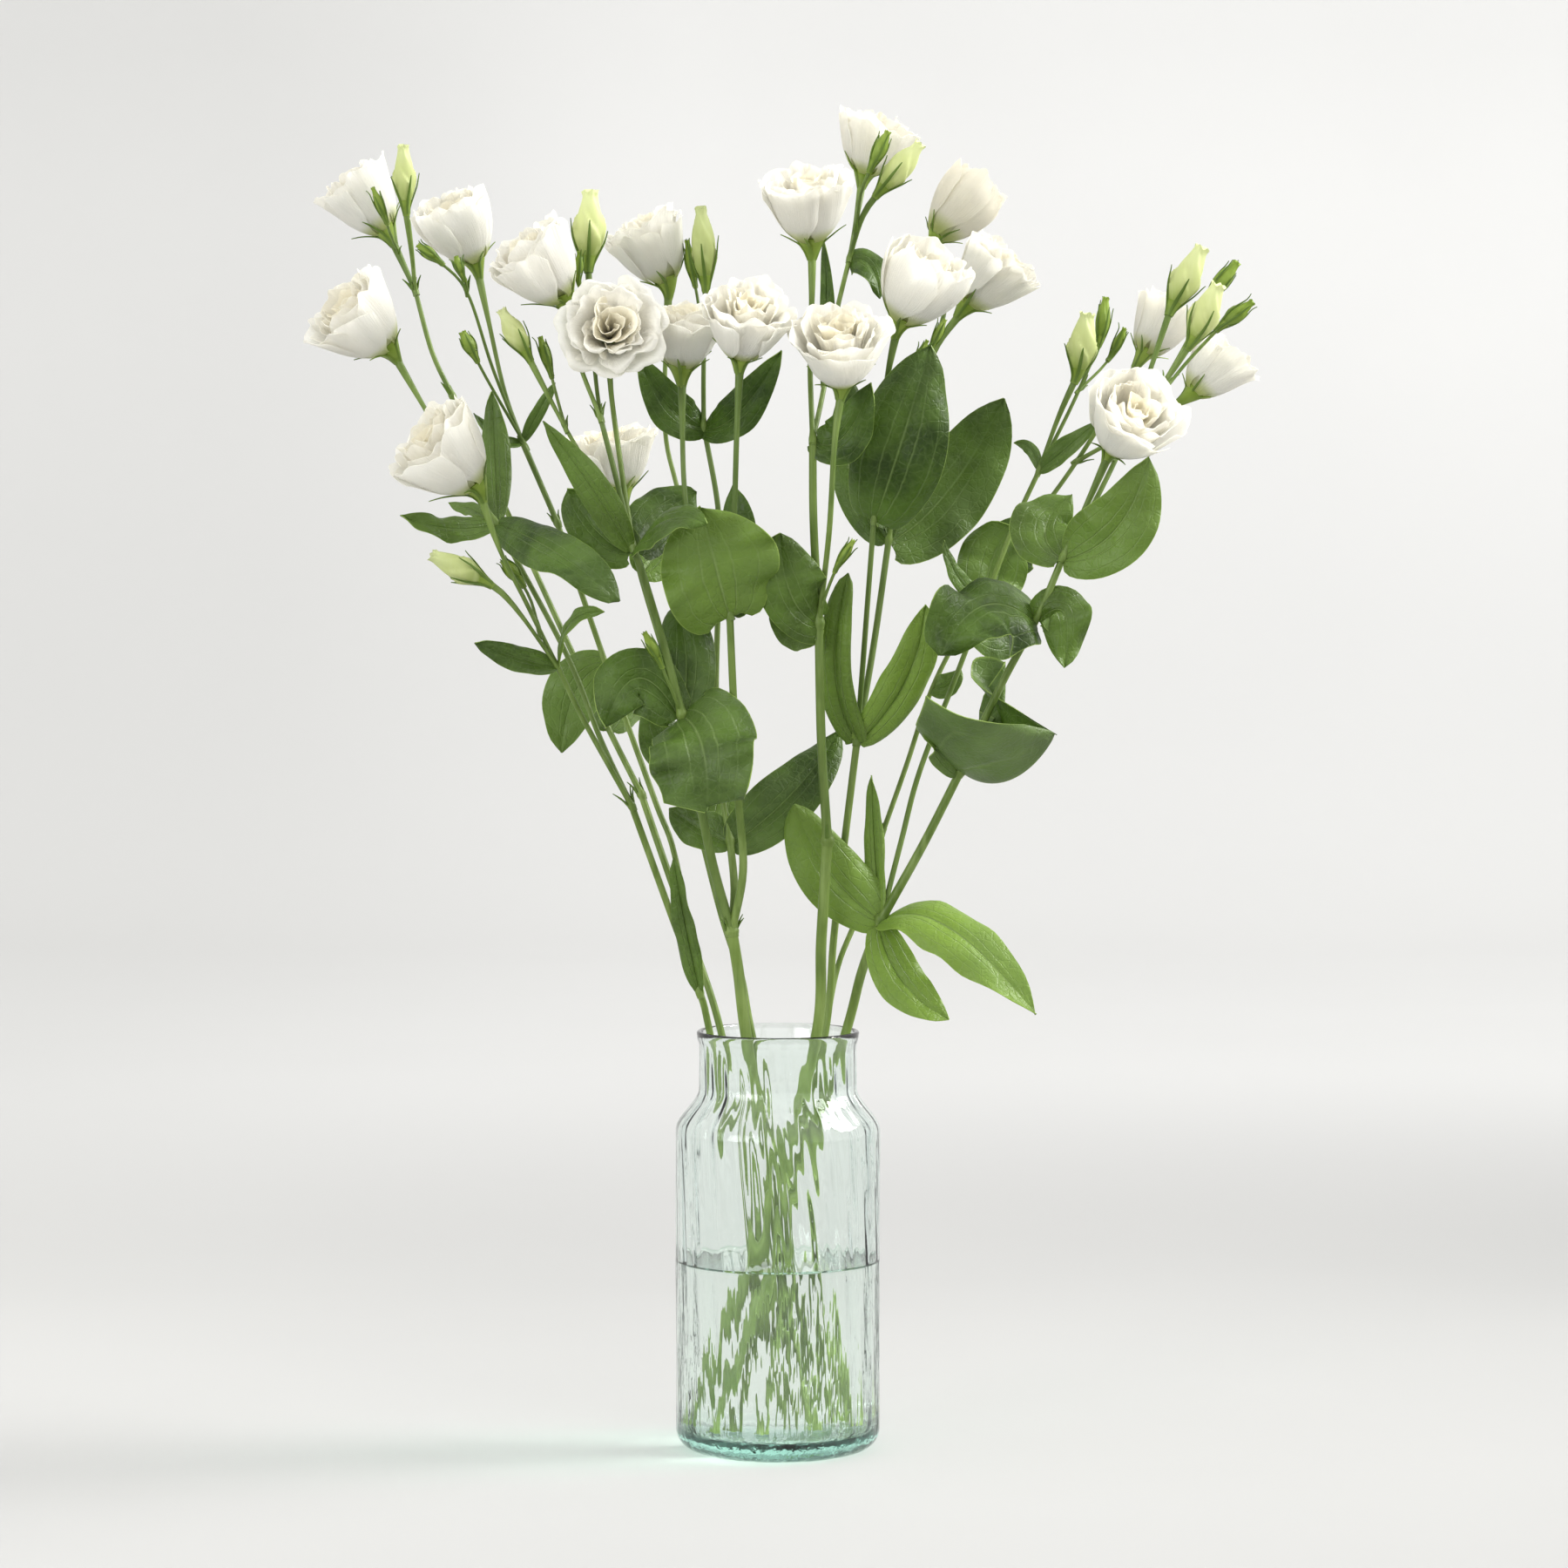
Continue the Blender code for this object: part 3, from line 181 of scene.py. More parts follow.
# Leaves of each stem: the places of base, middle and tip, the width in mm, the way the face looks, and
# the fold of each half towards that side, in degrees.
LEAVES = {
    "stem_left_front": [
        ((803, 1140, -12), (786, 1060, -24), (773, 984, -28), 16, (-0.5, -1, 0), 35),
        ((640, 766, -50), (592, 754, -60), (545, 738, -66), 16, (0.2, -1, 0.5), 15),
        ((642, 766, -50), (654, 716, -64), (694, 702, -76), 12, (-1, -0.4, 0.3), 20),
        ((570, 602, -30), (515, 606, -44), (460, 592, -54), 15, (0, -0.8, 0.6), 15),
        ((571, 602, -30), (636, 632, -84), (712, 690, -94), 31, (-0.2, -1, 0.5), 10),
        ((572, 600, -30), (569, 525, -6), (566, 450, 2), 16, (0, -1, 0), 12),
        ((569, 602, -30), (545, 586, -18), (516, 578, -8), 12, (0, -0.6, 0.8), 10),
        ((695, 762, 13), (660, 795, 26), (644, 864, 30), 32, (0.1, -1, 0.2), 8),
        ((600, 508, 20), (572, 503, 12), (545, 475, 6), 9, (0, -0.8, 0.5), 15),
        ((601, 508, 20), (620, 472, 16), (638, 440, 12), 8, (0.3, -1, 0.2), 15),
    ],
    "stem_left_back": [
        ((700, 840, 42), (715, 800, 62), (733, 758, 76), 30, (0, -1, 0.1), 12),
    ],
    "stem_middle_left": [
        ((724, 632, -65), (680, 560, -76), (624, 484, -80), 18, (-0.3, -1, 0.3), 18),
        ((724, 634, -64), (688, 612, -56), (652, 562, -50), 31, (0.1, -1, 0.2), 8),
        ((728, 634, -65), (766, 596, -92), (812, 602, -102), 24, (0, -0.7, 0.7), 10),
        ((730, 634, -64), (762, 590, -44), (800, 566, -34), 34, (0, -1, 0.1), 8),
        ((838, 708, -60), (822, 650, -76), (806, 584, -76), 60, (0, -1, 0.25), 8),
        ((839, 706, -58), (848, 640, -42), (842, 556, -34), 26, (0.2, -1, 0), 12),
        ((808, 494, 12), (850, 472, -2), (897, 403, -10), 23, (0, -1, 0.3), 14),
        ((807, 492, 12), (772, 470, 2), (735, 412, -2), 24, (0, -1, 0.3), 14),
        ((784, 822, -58), (806, 856, -90), (812, 926, -90), 60, (0, -1, 0.15), 8),
        ((783, 822, -57), (788, 760, -44), (778, 694, -40), 33, (0, -1, 0), 10),
        ((780, 824, -57), (732, 778, -60), (694, 836, -66), 38, (0.2, -1, 0.2), 10),
        ((838, 968, -20), (804, 952, -14), (768, 928, -8), 22, (0, -1, 0.3), 12),
        ((838, 970, -20), (905, 915, -12), (966, 838, 8), 34, (0, -1, 0.2), 12),
    ],
    "stem_back": [
        ((805, 960, 48), (818, 905, 66), (832, 850, 84), 34, (0, -1, 0.1), 12),
        ((793, 896, 53), (764, 856, 46), (742, 812, 42), 28, (0, -1, 0), 12),
        ((735, 660, 74), (765, 616, 92), (776, 566, 104), 32, (0, -1, 0.1), 12),
    ],
    "stem_middle": [
        ((940, 716, -44), (908, 682, -58), (896, 612, -62), 39, (0, -1, 0.2), 10),
        ((941, 716, -43), (914, 726, -30), (884, 700, -20), 20, (0, -1, 0.3), 10),
        ((934, 506, -51), (968, 502, -54), (1000, 440, -60), 26, (0, -1, 0.2), 12),
        ((975, 300, 8), (998, 306, 0), (1010, 344, -6), 20, (0.3, -1, 0.3), 10),
        ((944, 446, -28), (949, 360, -16), (945, 276, -14), 8, (0.3, -1, 0), 15),
    ],
    "stem_middle_right": [
        ((983, 851, -16), (958, 765, -30), (974, 658, -34), 20, (-0.7, -1, 0), 30),
        ((985, 852, -16), (1040, 782, -28), (1062, 694, -30), 25, (0.6, -1, 0.2), 25),
        ((1004, 598, -15), (1034, 510, -40), (1068, 398, -38), 54, (0, -1, 0.1), 10),
        ((1021, 622, 12), (1086, 566, 30), (1152, 458, 36), 50, (0, -1, 0.1), 10),
        ((1019, 622, 12), (984, 540, 24), (978, 432, 32), 32, (0, -1, 0), 12),
    ],
    "stem_right": [
        ((1011, 1057, -18), (952, 1000, -20), (912, 924, -24), 36, (0, -1, 0.2), 10),
        ((1011, 1054, -18), (1004, 970, -8), (1001, 890, -4), 13, (-0.6, -1, 0), 30),
        ((1009, 1062, -18), (1036, 1126, -34), (1090, 1172, -40), 27, (0, -1, 0.4), 10),
        ((1014, 1058, -18), (1088, 1064, -48), (1190, 1166, -64), 38, (0, -0.6, 0.8), 10),
        ((1104, 885, -30), (1158, 890, -46), (1211, 842, -54), 66, (0, -0.35, 1), 62),
        ((1103, 886, -30), (1080, 846, -48), (1058, 834, -58), 24, (0, -0.9, 0.4), 12),
        ((1189, 714, -44), (1130, 694, -68), (1080, 752, -78), 42, (0, -0.8, 0.6), 10),
        ((1192, 712, -44), (1222, 704, -54), (1222, 766, -56), 30, (0.2, -1, 0.3), 10),
        ((1219, 642, -48), (1200, 606, -30), (1230, 568, -20), 34, (0, -1, 0.3), 10),
        ((1221, 642, -48), (1282, 606, -62), (1318, 524, -62), 40, (0, -1, 0.2), 12),
        ((1130, 690, 14), (1138, 645, 24), (1160, 604, 28), 40, (0, -1, 0.1), 10),
        ((1129, 690, 14), (1100, 664, 8), (1083, 620, 4), 10, (0.4, -1, 0), 15),
        ((1192, 541, 24), (1222, 516, 14), (1260, 484, 10), 12, (0, -1, 0.4), 15),
        ((1192, 541, 24), (1182, 516, 30), (1163, 509, 32), 7, (0, -1, 0.4), 10),
    ],
    "stem_right_back": [
        ((1070, 790, 58), (1088, 786, 52), (1103, 768, 50), 14, (0, -1, 0.3), 12),
        ((1110, 710, 66), (1150, 722, 84), (1182, 712, 96), 32, (0, -1, 0.1), 12),
        ((1180, 606, 78), (1150, 640, 96), (1130, 676, 106), 32, (0, -1, 0.1), 12),
    ],
}

# Open blooms: the stem, the place of the base, a place on the bloom's axis, the width of the mouth and the
# height of the cup in mm.
BLOOMS = [
    ("stem_left_back", (448, 270, 86), (414, 223, 85), 44, 42),
    ("stem_left_front", (450, 402, -20), (396, 352, -34), 50, 42),
    ("stem_left_front", (550, 560, -58), (488, 500, -72), 52, 46),
    ("stem_left_front", (548, 305, 29), (524, 252, 20), 42, 40),
    ("stem_middle_left", (651, 347, -40), (602, 281, -51), 46, 44),
    ("stem_middle_left", (768, 328, 34), (742, 276, 30), 44, 42),
    ("stem_middle_left", (701, 392, -46), (701, 364, -88), 55, 36),
    ("stem_middle_left", (783, 428, -30), (786, 380, -36), 46, 38),
    ("stem_middle_left", (850, 413, -66), (858, 362, -82), 46, 42),
    ("stem_back", (713, 566, 82), (702, 511, 78), 52, 38),
    ("stem_middle", (932, 283, -34), (927, 230, -42), 52, 42),
    ("stem_middle", (967, 443, -70), (963, 392, -85), 50, 42),
    ("stem_middle", (990, 205, 36), (1003, 161, 33), 42, 36),
    ("stem_middle_right", (1031, 373, -34), (1058, 325, -42), 46, 42),
    ("stem_middle_right", (1071, 276, 70), (1112, 228, 74), 36, 42),
    ("stem_middle_right", (1107, 354, 40), (1152, 301, 35), 44, 42),
    ("stem_right", (1275, 516, -44), (1308, 466, -68), 52, 42),
    ("stem_right_back", (1310, 410, 92), (1333, 370, 96), 34, 36),
    ("stem_right_back", (1366, 454, 66), (1404, 413, 67), 38, 38),
]

# Closed buds, each a node: the stem, the places of base and tip, and the width in mm.
BUDS = [
    ("stem_left_back", (467, 239, 58), (465, 170, 56), 11),
    ("stem_left_front", (557, 667, -66), (496, 637, -72), 12),
    ("stem_middle_left", (606, 408, -46), (577, 357, -50), 10),
    ("stem_middle_left", (676, 304, -22), (679, 222, -22), 15),
    ("stem_middle_left", (811, 327, 16), (805, 241, 16), 12),
    ("stem_middle", (1010, 221, 2), (1056, 168, 0), 12),
    ("stem_right", (1236, 431, 20), (1247, 361, 18), 14),
    ("stem_right", (1343, 354, -4), (1378, 286, -6), 14),
    ("stem_right", (1367, 393, -26), (1397, 328, -32), 14),
]

# Small green buds, part of the stem: the stem, the places of base and tip, and the width in mm.
GREEN_BUDS = [
    ("stem_left_front", (503, 299, 2), (481, 283, 0), 6),
    ("stem_left_front", (531, 316, 0), (525, 296, -2), 5),
    ("stem_left_front", (545, 408, -4), (532, 382, -6), 7.5),
    ("stem_left_front", (597, 665, -44), (577, 643, -44), 7.5),
    ("stem_left_back", (444, 252, 58), (430, 218, 54), 5),
    ("stem_middle_left", (757, 757, -70), (740, 726, -74), 6),
    ("stem_middle_left", (664, 320, -34), (666, 291, -34), 5),
    ("stem_middle_left", (632, 425, -34), (621, 388, -34), 5.5),
    ("stem_middle_left", (797, 322, 26), (789, 278, 28), 6),
    ("stem_middle", (1001, 191, -4), (1019, 154, -6), 7.5),
    ("stem_middle", (962, 648, -66), (980, 620, -70), 5),
    ("stem_middle_right", (1050, 420, 2), (1064, 392, 4), 4.5),
    ("stem_middle_right", (1070, 398, 8), (1084, 368, 10), 5),
    ("stem_right", (1262, 392, 38), (1268, 343, 38), 7.5),
    ("stem_right", (1276, 408, 46), (1290, 378, 46), 5.5),
    ("stem_right", (1386, 342, 2), (1418, 303, 2), 9),
    ("stem_right", (1401, 374, 14), (1436, 348, 14), 8.5),
]


def unit(vector):
    """The vector, or each vector along the last axis, at length one."""
    vector = np.asarray(vector, float)
    return vector / np.maximum(np.linalg.norm(vector, axis=-1, keepdims=True), 1e-9)


def ease(value, low, high):
    """0 below low, 1 above high, and a smooth rise between."""
    t = np.clip((np.asarray(value, float) - low) / (high - low), 0, 1)
    return t * t * (3 - 2 * t)


# Shapes. A shape is (points in mm, quads, the other faces, place), and place holds for each point its place
# across and along the surface, a tone from 0 to 1, and 1 on an under side.


def facing_out(points, quads, others):
    """The faces, turned round if the closed shape they make is inside out."""
    a, b, c, d = (points[quads[:, k]] for k in range(4))
    volume = np.einsum("ij,ij", a, np.cross(b, c)) + np.einsum("ij,ij", a, np.cross(c, d))
    for face in others:
        for second, third in zip(face[1:], face[2:]):
            volume += points[face[0]] @ np.cross(points[second], points[third])
    if volume < 0:
        return quads[:, ::-1], [face[::-1] for face in others]
    return quads, others


def grid_quads(rows, columns, closed):
    """Quads over a grid of points, joined round each row where closed is set."""
    ids = np.arange(rows * columns).reshape(rows, columns)
    if closed:
        ids = np.hstack([ids, ids[:, :1]])
    return np.stack([ids[:-1, :-1], ids[:-1, 1:], ids[1:, 1:], ids[1:, :-1]], axis=-1).reshape(-1, 4)


def sheet(grid, thickness, tone):
    """A closed thin sheet over a grid of points, its first side the face."""
    rows, columns = grid.shape[:2]
    normal = unit(np.cross(np.gradient(grid, axis=1), np.gradient(grid, axis=0)))
    thick = thickness / 2
    points = np.vstack([(grid + normal * thick).reshape(-1, 3), (grid - normal * thick).reshape(-1, 3)])
    quads = grid_quads(rows, columns, False)
    far = rows * columns
    ids = np.arange(far).reshape(rows, columns)
    edge = np.concatenate([ids[0, :-1], ids[:-1, -1], ids[-1, :0:-1], ids[:0:-1, 0]])
    after = np.roll(edge, -1)
    rim = np.stack([edge, edge + far, after + far, after], axis=-1)
    quads, others = facing_out(points, np.vstack([quads, quads[:, ::-1] + far, rim]), [])
    along, across = np.meshgrid(np.linspace(0, 1, rows), np.linspace(-1, 1, columns), indexing="ij")
    place = np.zeros((2 * far, 4))
    place[:, 0] = np.tile(across.reshape(-1), 2)
    place[:, 1] = np.tile(along.reshape(-1), 2)
    place[:, 2] = tone
    place[far:, 3] = 1
    return points, quads, others, place


def round_body(rings, tone):
    """A closed body through rings of points, a (rows, sides, 3) array."""
    rows, sides = rings.shape[:2]
    points = rings.reshape(-1, 3)
    ends = [list(range(sides))[::-1], list(range((rows - 1) * sides, rows * sides))]
    quads, ends = facing_out(points, grid_quads(rows, sides, True), ends)
    place = np.zeros((rows * sides, 4))
    place[:, 0] = np.tile(np.linspace(-1, 1, sides), rows)
    place[:, 1] = np.repeat(np.linspace(0, 1, rows), sides)
    place[:, 2] = tone
    return points, quads, ends, place


def curve(places, spacing):
    """Points about that far apart on a smooth curve through the places."""
    places = [np.asarray(p, float) for p in places]
    ends = [places[0] * 2 - places[1], *places, places[-1] * 2 - places[-2]]
    found = []
    for a, b, c, d in zip(ends, ends[1:], ends[2:], ends[3:]):
        steps = max(2, round(np.linalg.norm(c - b) / spacing))
        for k in range(steps):
            t = k / steps
            square = a * 2 - b * 5 + c * 4 - d
            cube = b * 3 - a - c * 3 + d
            found.append((b * 2 + (c - a) * t + square * t**2 + cube * t**3) / 2)
    return np.array([*found, places[-1]])


def tube(points, radii, sides, tone):
    """A tube of changing radius along a line of points."""
    tangent = unit(np.gradient(points, axis=0))
    side = unit(np.cross(tangent[0], (0.2, 1.0, 0.1)))
    angle = np.linspace(0, 2 * math.pi, sides, endpoint=False)
    rings = []
    for point, along, radius in zip(points, tangent, radii):
        side = unit(side - along * (side @ along))
        other = np.cross(along, side)
        rings.append(point + (np.outer(np.cos(angle), side) + np.outer(np.sin(angle), other)) * radius)
    return round_body(np.array(rings), tone)


def turned(base, axis, heights, radii, tone):
    """A body turned round an axis, through rings at the heights, with a radius for each ring and side."""
    radii = np.asarray(radii, float)
    sides = radii.shape[1]
    side, other = sides_of(axis)
    angle = np.linspace(0, 2 * math.pi, sides, endpoint=False)
    out = np.outer(np.cos(angle), side) + np.outer(np.sin(angle), other)
    rings = base + np.asarray(heights)[:, None, None] * axis + radii[:, :, None] * out
    return round_body(rings, tone)


def sides_of(axis):
    """Two directions square to an axis and to each other."""
    side = unit(np.cross(axis, (0, 1, 0) if abs(axis[1]) < 0.7 else (1, 0, 0)))
    return side, np.cross(axis, side)


def piece(name, shapes, look, nodes):
    """One mesh object from shapes, in metres, that stands for the named nodes."""
    points, faces, places, first = [], [], [], 0
    for shape_points, quads, others, place in shapes:
        points.append(shape_points)
        faces += (quads + first).tolist()
        faces += [[first + k for k in face] for face in others]
        places.append(place)
        first += len(shape_points)
    mesh = bpy.data.meshes.new(name)
    mesh.from_pydata(np.vstack(points) * MM, [], faces)
    place = np.vstack(places)
    for title, values in (("place", place[:, :3]), ("under", place[:, 3])):
        kind, key = ("FLOAT_VECTOR", "vector") if values.ndim == 2 else ("FLOAT", "value")
        mesh.attributes.new(title, kind, "POINT").data.foreach_set(key, values.astype(np.float32).ravel())
    mesh.polygons.foreach_set("use_smooth", [True] * len(faces))
    mesh.set_sharp_from_angle(angle=math.radians(66))
    mesh.materials.append(look)
    made = bpy.data.objects.new(name, mesh)
    bpy.context.scene.collection.objects.link(made)
    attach(made, "root")
    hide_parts(*nodes)
    return made


# Materials.


def tint(red, green, blue):
    """A colour as a shader takes it, from the 0 to 255 values of a screen."""
    shares = [value / 255 for value in (red, green, blue)]
    return (*[s / 12.92 if s < 0.04045 else ((s + 0.055) / 1.055) ** 2.4 for s in shares], 1.0)


class Look:
    """A material, with short ways to add its nodes."""

    def __init__(self, name, **settings):
        self.material = bpy.data.materials.new(name)
        self.material.use_nodes = True
        self.tree = self.material.node_tree
        self.shader = self.tree.nodes["Principled BSDF"]
        for key, value in settings.items():
            self.feed(self.shader.inputs[key.replace("_", " ")], value)

    def feed(self, socket, value):
        if isinstance(value, bpy.types.NodeSocket):
            self.tree.links.new(value, socket)
        else:
            socket.default_value = value

    def add(self, kind, values, **settings):
        node = self.tree.nodes.new("ShaderNode" + kind)
        for key, value in settings.items():
            setattr(node, key, value)
        for key, value in values.items():
            self.feed(node.inputs[key], value)
        return node

    def place(self):
        """The place across, the place along, and the tone."""
        place = self.add("Attribute", {}, attribute_name="place").outputs["Vector"]
        return self.add("SeparateXYZ", {0: place}).outputs

    def math(self, operation, *values):
        return self.add("Math", dict(enumerate(values)), operation=operation).outputs[0]

    def rise(self, value, low, high, start=0.0, end=1.0):
        """A smooth change from start to end as the value goes from low to high."""
        values = {"Value": value, "From Min": low, "From Max": high, "To Min": start, "To Max": end}
        return self.add("MapRange", values, interpolation_type="SMOOTHSTEP").outputs["Result"]

    def noise(self, scale, detail=3.0, stretch=None, roughness=0.55):
        where = self.add("TexCoord", {}).outputs["Object"]
        if stretch:
            where = self.add("Mapping", {"Vector": where, "Scale": stretch}).outputs[0]
        values = {"Vector": where, "Scale": scale, "Detail": detail, "Roughness": roughness}
        return self.add("TexNoise", values).outputs["Fac"]

    def mix(self, share, low, high, blend="MIX"):
        node = self.add("Mix", {0: share}, data_type="RGBA", blend_type=blend)
        self.feed(node.inputs[6], low)
        self.feed(node.inputs[7], high)
        return node.outputs[2]

    def bump(self, height, strength, distance):
        values = {"Height": height, "Strength": strength, "Distance": distance}
        self.feed(self.shader.inputs["Normal"], self.add("Bump", values).outputs[0])

    def colour(self, value):
        self.feed(self.shader.inputs["Base Color"], value)

    def surface(self, shader):
        self.feed(self.tree.nodes["Material Output"].inputs["Surface"], shader)

    def let_light_through(self, share, colour):
        """Mixes in light from behind, as in a thin petal or leaf."""
        values = {"Color": colour}
        if self.shader.inputs["Normal"].is_linked:
            values["Normal"] = self.shader.inputs["Normal"].links[0].from_socket
        behind = self.add("BsdfTranslucent", values).outputs[0]
        mixed = self.add("MixShader", {0: share, 1: self.shader.outputs[0], 2: behind})
        self.surface(mixed.outputs[0])

    def let_lamps_through(self, colour):
        """Clear glass that lamps shine through, so that what it holds is lit."""
        shadow = self.add("LightPath", {}).outputs["Is Shadow Ray"]
        clear = self.add("BsdfTransparent", {"Color": colour}).outputs[0]
        mixed = self.add("MixShader", {0: shadow, 1: self.shader.outputs[0], 2: clear})
        self.surface(mixed.outputs[0])

    def depth_colour(self, colour, density):
        """A colour that grows with the depth of glass or water the light crosses."""
        volume = self.add("VolumeAbsorption", {"Color": colour, "Density": density})
        self.feed(self.tree.nodes["Material Output"].inputs["Volume"], volume.outputs[0])


def leaf_look():
    look = Look("leaf", Roughness=0.4, Specular_IOR_Level=0.3)
    across, along, tone = look.place()
    under = look.add("Attribute", {}, attribute_name="under").outputs["Fac"]
    away = look.math("ABSOLUTE", across)
    wobble = look.math("MULTIPLY", look.math("SUBTRACT", look.noise(60), 0.5), 0.10)
    off = look.math("ADD", away, wobble)
    veins = look.rise(away, 0.0, 0.06, 1.0, 0.0)
    for line, strength in ((0.30, 0.6), (0.60, 0.4)):
        near = look.math("ABSOLUTE", look.math("SUBTRACT", off, line))
        veins = look.math("MAXIMUM", veins, look.rise(near, 0.0, 0.025, strength, 0.0))
    veins = look.math("MULTIPLY", veins, look.rise(along, 1.0, 0.3, 0.1, 1.0))
    net = look.add("TexVoronoi", {"Scale": 210.0, "Vector": look.add("TexCoord", {}).outputs["Object"]},
                   feature="DISTANCE_TO_EDGE").outputs["Distance"]
    fine = look.rise(net, 0.0, 0.12, 1.0, 0.0)
    patches = look.noise(38, 5)
    clouds = look.noise(17, 4)
    specks = look.noise(420, 3)
    creases = look.rise(look.noise(95, 5), 0.46, 0.54)
    body = look.mix(look.rise(patches, 0.32, 0.68), tint(32, 53, 13), tint(78, 106, 34))
    # Painted light and shade: the tone lightens a leaf towards a lit green; for the listed leaves it follows
    # how lit they are, for the others it is random.
    body = look.mix(look.rise(tone, 0.0, 1.0, 0.0, 0.9), body, tint(132, 162, 66))
    body = look.mix(look.rise(clouds, 0.42, 0.66, 0.0, 0.5), body, tint(112, 138, 72))
    body = look.mix(look.rise(specks, 0.4, 0.8, 0.0, 0.25), body, tint(104, 132, 62))
    body = look.mix(look.math("MULTIPLY", fine, 0.09), body, tint(132, 154, 96))
    body = look.mix(look.math("MULTIPLY", veins, 0.55), body, tint(150, 174, 108))
    body = look.mix(look.rise(away, 0.95, 1.0, 0.0, 0.8), body, tint(164, 190, 96))
    body = look.mix(look.math("MULTIPLY", under, 0.35), body, tint(118, 140, 88))
    look.colour(body)
    height = look.math("SUBTRACT", patches, look.math("MULTIPLY", veins, 0.5))
    height = look.math("ADD", height, look.math("MULTIPLY", creases, 0.12))
    look.bump(look.math("SUBTRACT", height, look.math("MULTIPLY", fine, 0.08)), 0.75, 0.002)
    look.let_light_through(0.26, look.mix(0.55, body, tint(160, 196, 36)))
    return look.material


def stalk_look():
    look = Look("stalk", Roughness=0.4, Specular_IOR_Level=0.25)
    tone = look.place()[2]
    streaks = look.noise(260, 3, (1.0, 1.0, 0.06))
    patches = look.noise(25, 3)
    body = look.mix(look.rise(patches, 0.3, 0.7), tint(80, 102, 40), tint(108, 130, 60))
    body = look.mix(look.rise(streaks, 0.35, 0.75, 0.0, 0.5), body, tint(138, 158, 92))
    look.colour(look.mix(look.rise(tone, 0.0, 1.0, 0.0, 0.5), body, tint(70, 92, 38)))
    look.bump(streaks, 0.25, 0.0004)
    return look.material


def sepal_look():
    look = Look("sepal", Roughness=0.45, Specular_IOR_Level=0.25)
    _, along, tone = look.place()
    pale = look.mix(look.rise(look.noise(120), 0.3, 0.7), tint(124, 148, 52), tint(152, 174, 78))
    dark = look.mix(look.rise(look.noise(90), 0.3, 0.7), tint(70, 96, 36), tint(100, 126, 56))
    body = look.mix(look.rise(tone, 0.0, 1.0), pale, dark)
    look.colour(look.mix(look.rise(along, 0.1, 0.9, 0.5, 0.0), body, tint(104, 128, 56)))
    look.bump(look.noise(400), 0.15, 0.0003)
    look.let_light_through(0.2, tint(170, 200, 70))
    return look.material


def petal_look():
    look = Look("petal", Roughness=0.6, Specular_IOR_Level=0.25)
    across, along, tone = look.place()
    lines = look.add("TexNoise", {"Scale": 1.0, "Detail": 4.0, "Roughness": 0.6,
                                  "Vector": look.add("CombineXYZ", {
                                      "X": look.math("MULTIPLY", across, 26.0),
                                      "Y": look.math("MULTIPLY", along, 1.6),
                                      "Z": look.math("MULTIPLY", tone, 37.0)}).outputs[0]}).outputs["Fac"]
    body = look.mix(look.rise(look.noise(40), 0.3, 0.7), tint(254, 254, 252), tint(253, 252, 248))
    body = look.mix(look.rise(lines, 0.5, 0.8, 0.0, 0.3), body, tint(249, 249, 243))
    body = look.mix(look.rise(tone, 0.1, 1.0, 0.0, 0.8), body, tint(253, 248, 230))
    body = look.mix(look.rise(along, 0.96, 1.0, 0.0, 0.4), body, tint(250, 248, 238))
    body = look.mix(look.rise(along, 0.26, 0.05, 0.0, 0.9), body, tint(204, 216, 122))
    look.colour(body)
    look.bump(lines, 0.65, 0.0009)
    look.let_light_through(0.58, look.mix(0.5, body, tint(255, 253, 245)))
    return look.material


def bud_look():
    look = Look("bud", Roughness=0.5, Specular_IOR_Level=0.35)
    _, along, tone = look.place()
    streaks = look.noise(220, 3, (1.0, 1.0, 0.15))
    body = look.mix(look.rise(along, 0.0, 0.5), tint(140, 162, 66), tint(212, 220, 152))
    body = look.mix(look.rise(along, 0.6, 1.0, 0.0, 0.7), body, tint(232, 238, 184))
    body = look.mix(look.rise(streaks, 0.4, 0.8, 0.0, 0.4), body, tint(226, 230, 180))
    body = look.mix(look.rise(tone, 0.0, 1.0, 0.0, 0.75), body, tint(128, 152, 62))
    look.colour(body)
    look.bump(streaks, 0.3, 0.0005)
    look.let_light_through(0.25, body)
    return look.material


def glass_look():
    look = Look("glass", Roughness=0.0, IOR=1.5, Transmission_Weight=1.0, Specular_IOR_Level=0.5)
    height = look.add("SeparateXYZ", {0: look.add("TexCoord", {}).outputs["Object"]}).outputs["Z"]
    foot = look.rise(height, 0.016, 0.004)
    look.colour(tint(252, 255, 253))
    wet = look.rise(height, WATER_TOP * MM, 0.085, 0.12, 1.0)
    streaks = look.math("MULTIPLY", look.noise(210, 2, (1.0, 1.0, 0.16)), wet)
    look.bump(look.math("ADD", streaks, look.math("MULTIPLY", look.noise(260, 2), foot)), 0.5, 0.0012)
    look.depth_colour((0.24, 0.88, 0.74, 1.0), 10.0)
    look.let_lamps_through(tint(250, 254, 252))
    return look.material


def water_look():
    look = Look("water", Roughness=0.0, IOR=1.33, Transmission_Weight=1.0)
    height = look.add("SeparateXYZ", {0: look.add("TexCoord", {}).outputs["Object"]}).outputs["Z"]
    # Painted shade: the water's top 3 mm is tinted a darker grey-green, so that the water line shows as a
    # darker band.
    rim = look.rise(height, (WATER_TOP - 3) * MM, WATER_TOP * MM)
    look.colour(look.mix(rim, tint(254, 255, 254), tint(228, 240, 232)))
    look.let_lamps_through(tint(252, 254, 253))
    return look.material


# The stage's tones: the floor is painted darker than the wall, to even out the lamps' light that falls mostly
# on the floor near the vase.
FLOOR_TONE = 174
WALL_TONE = 216


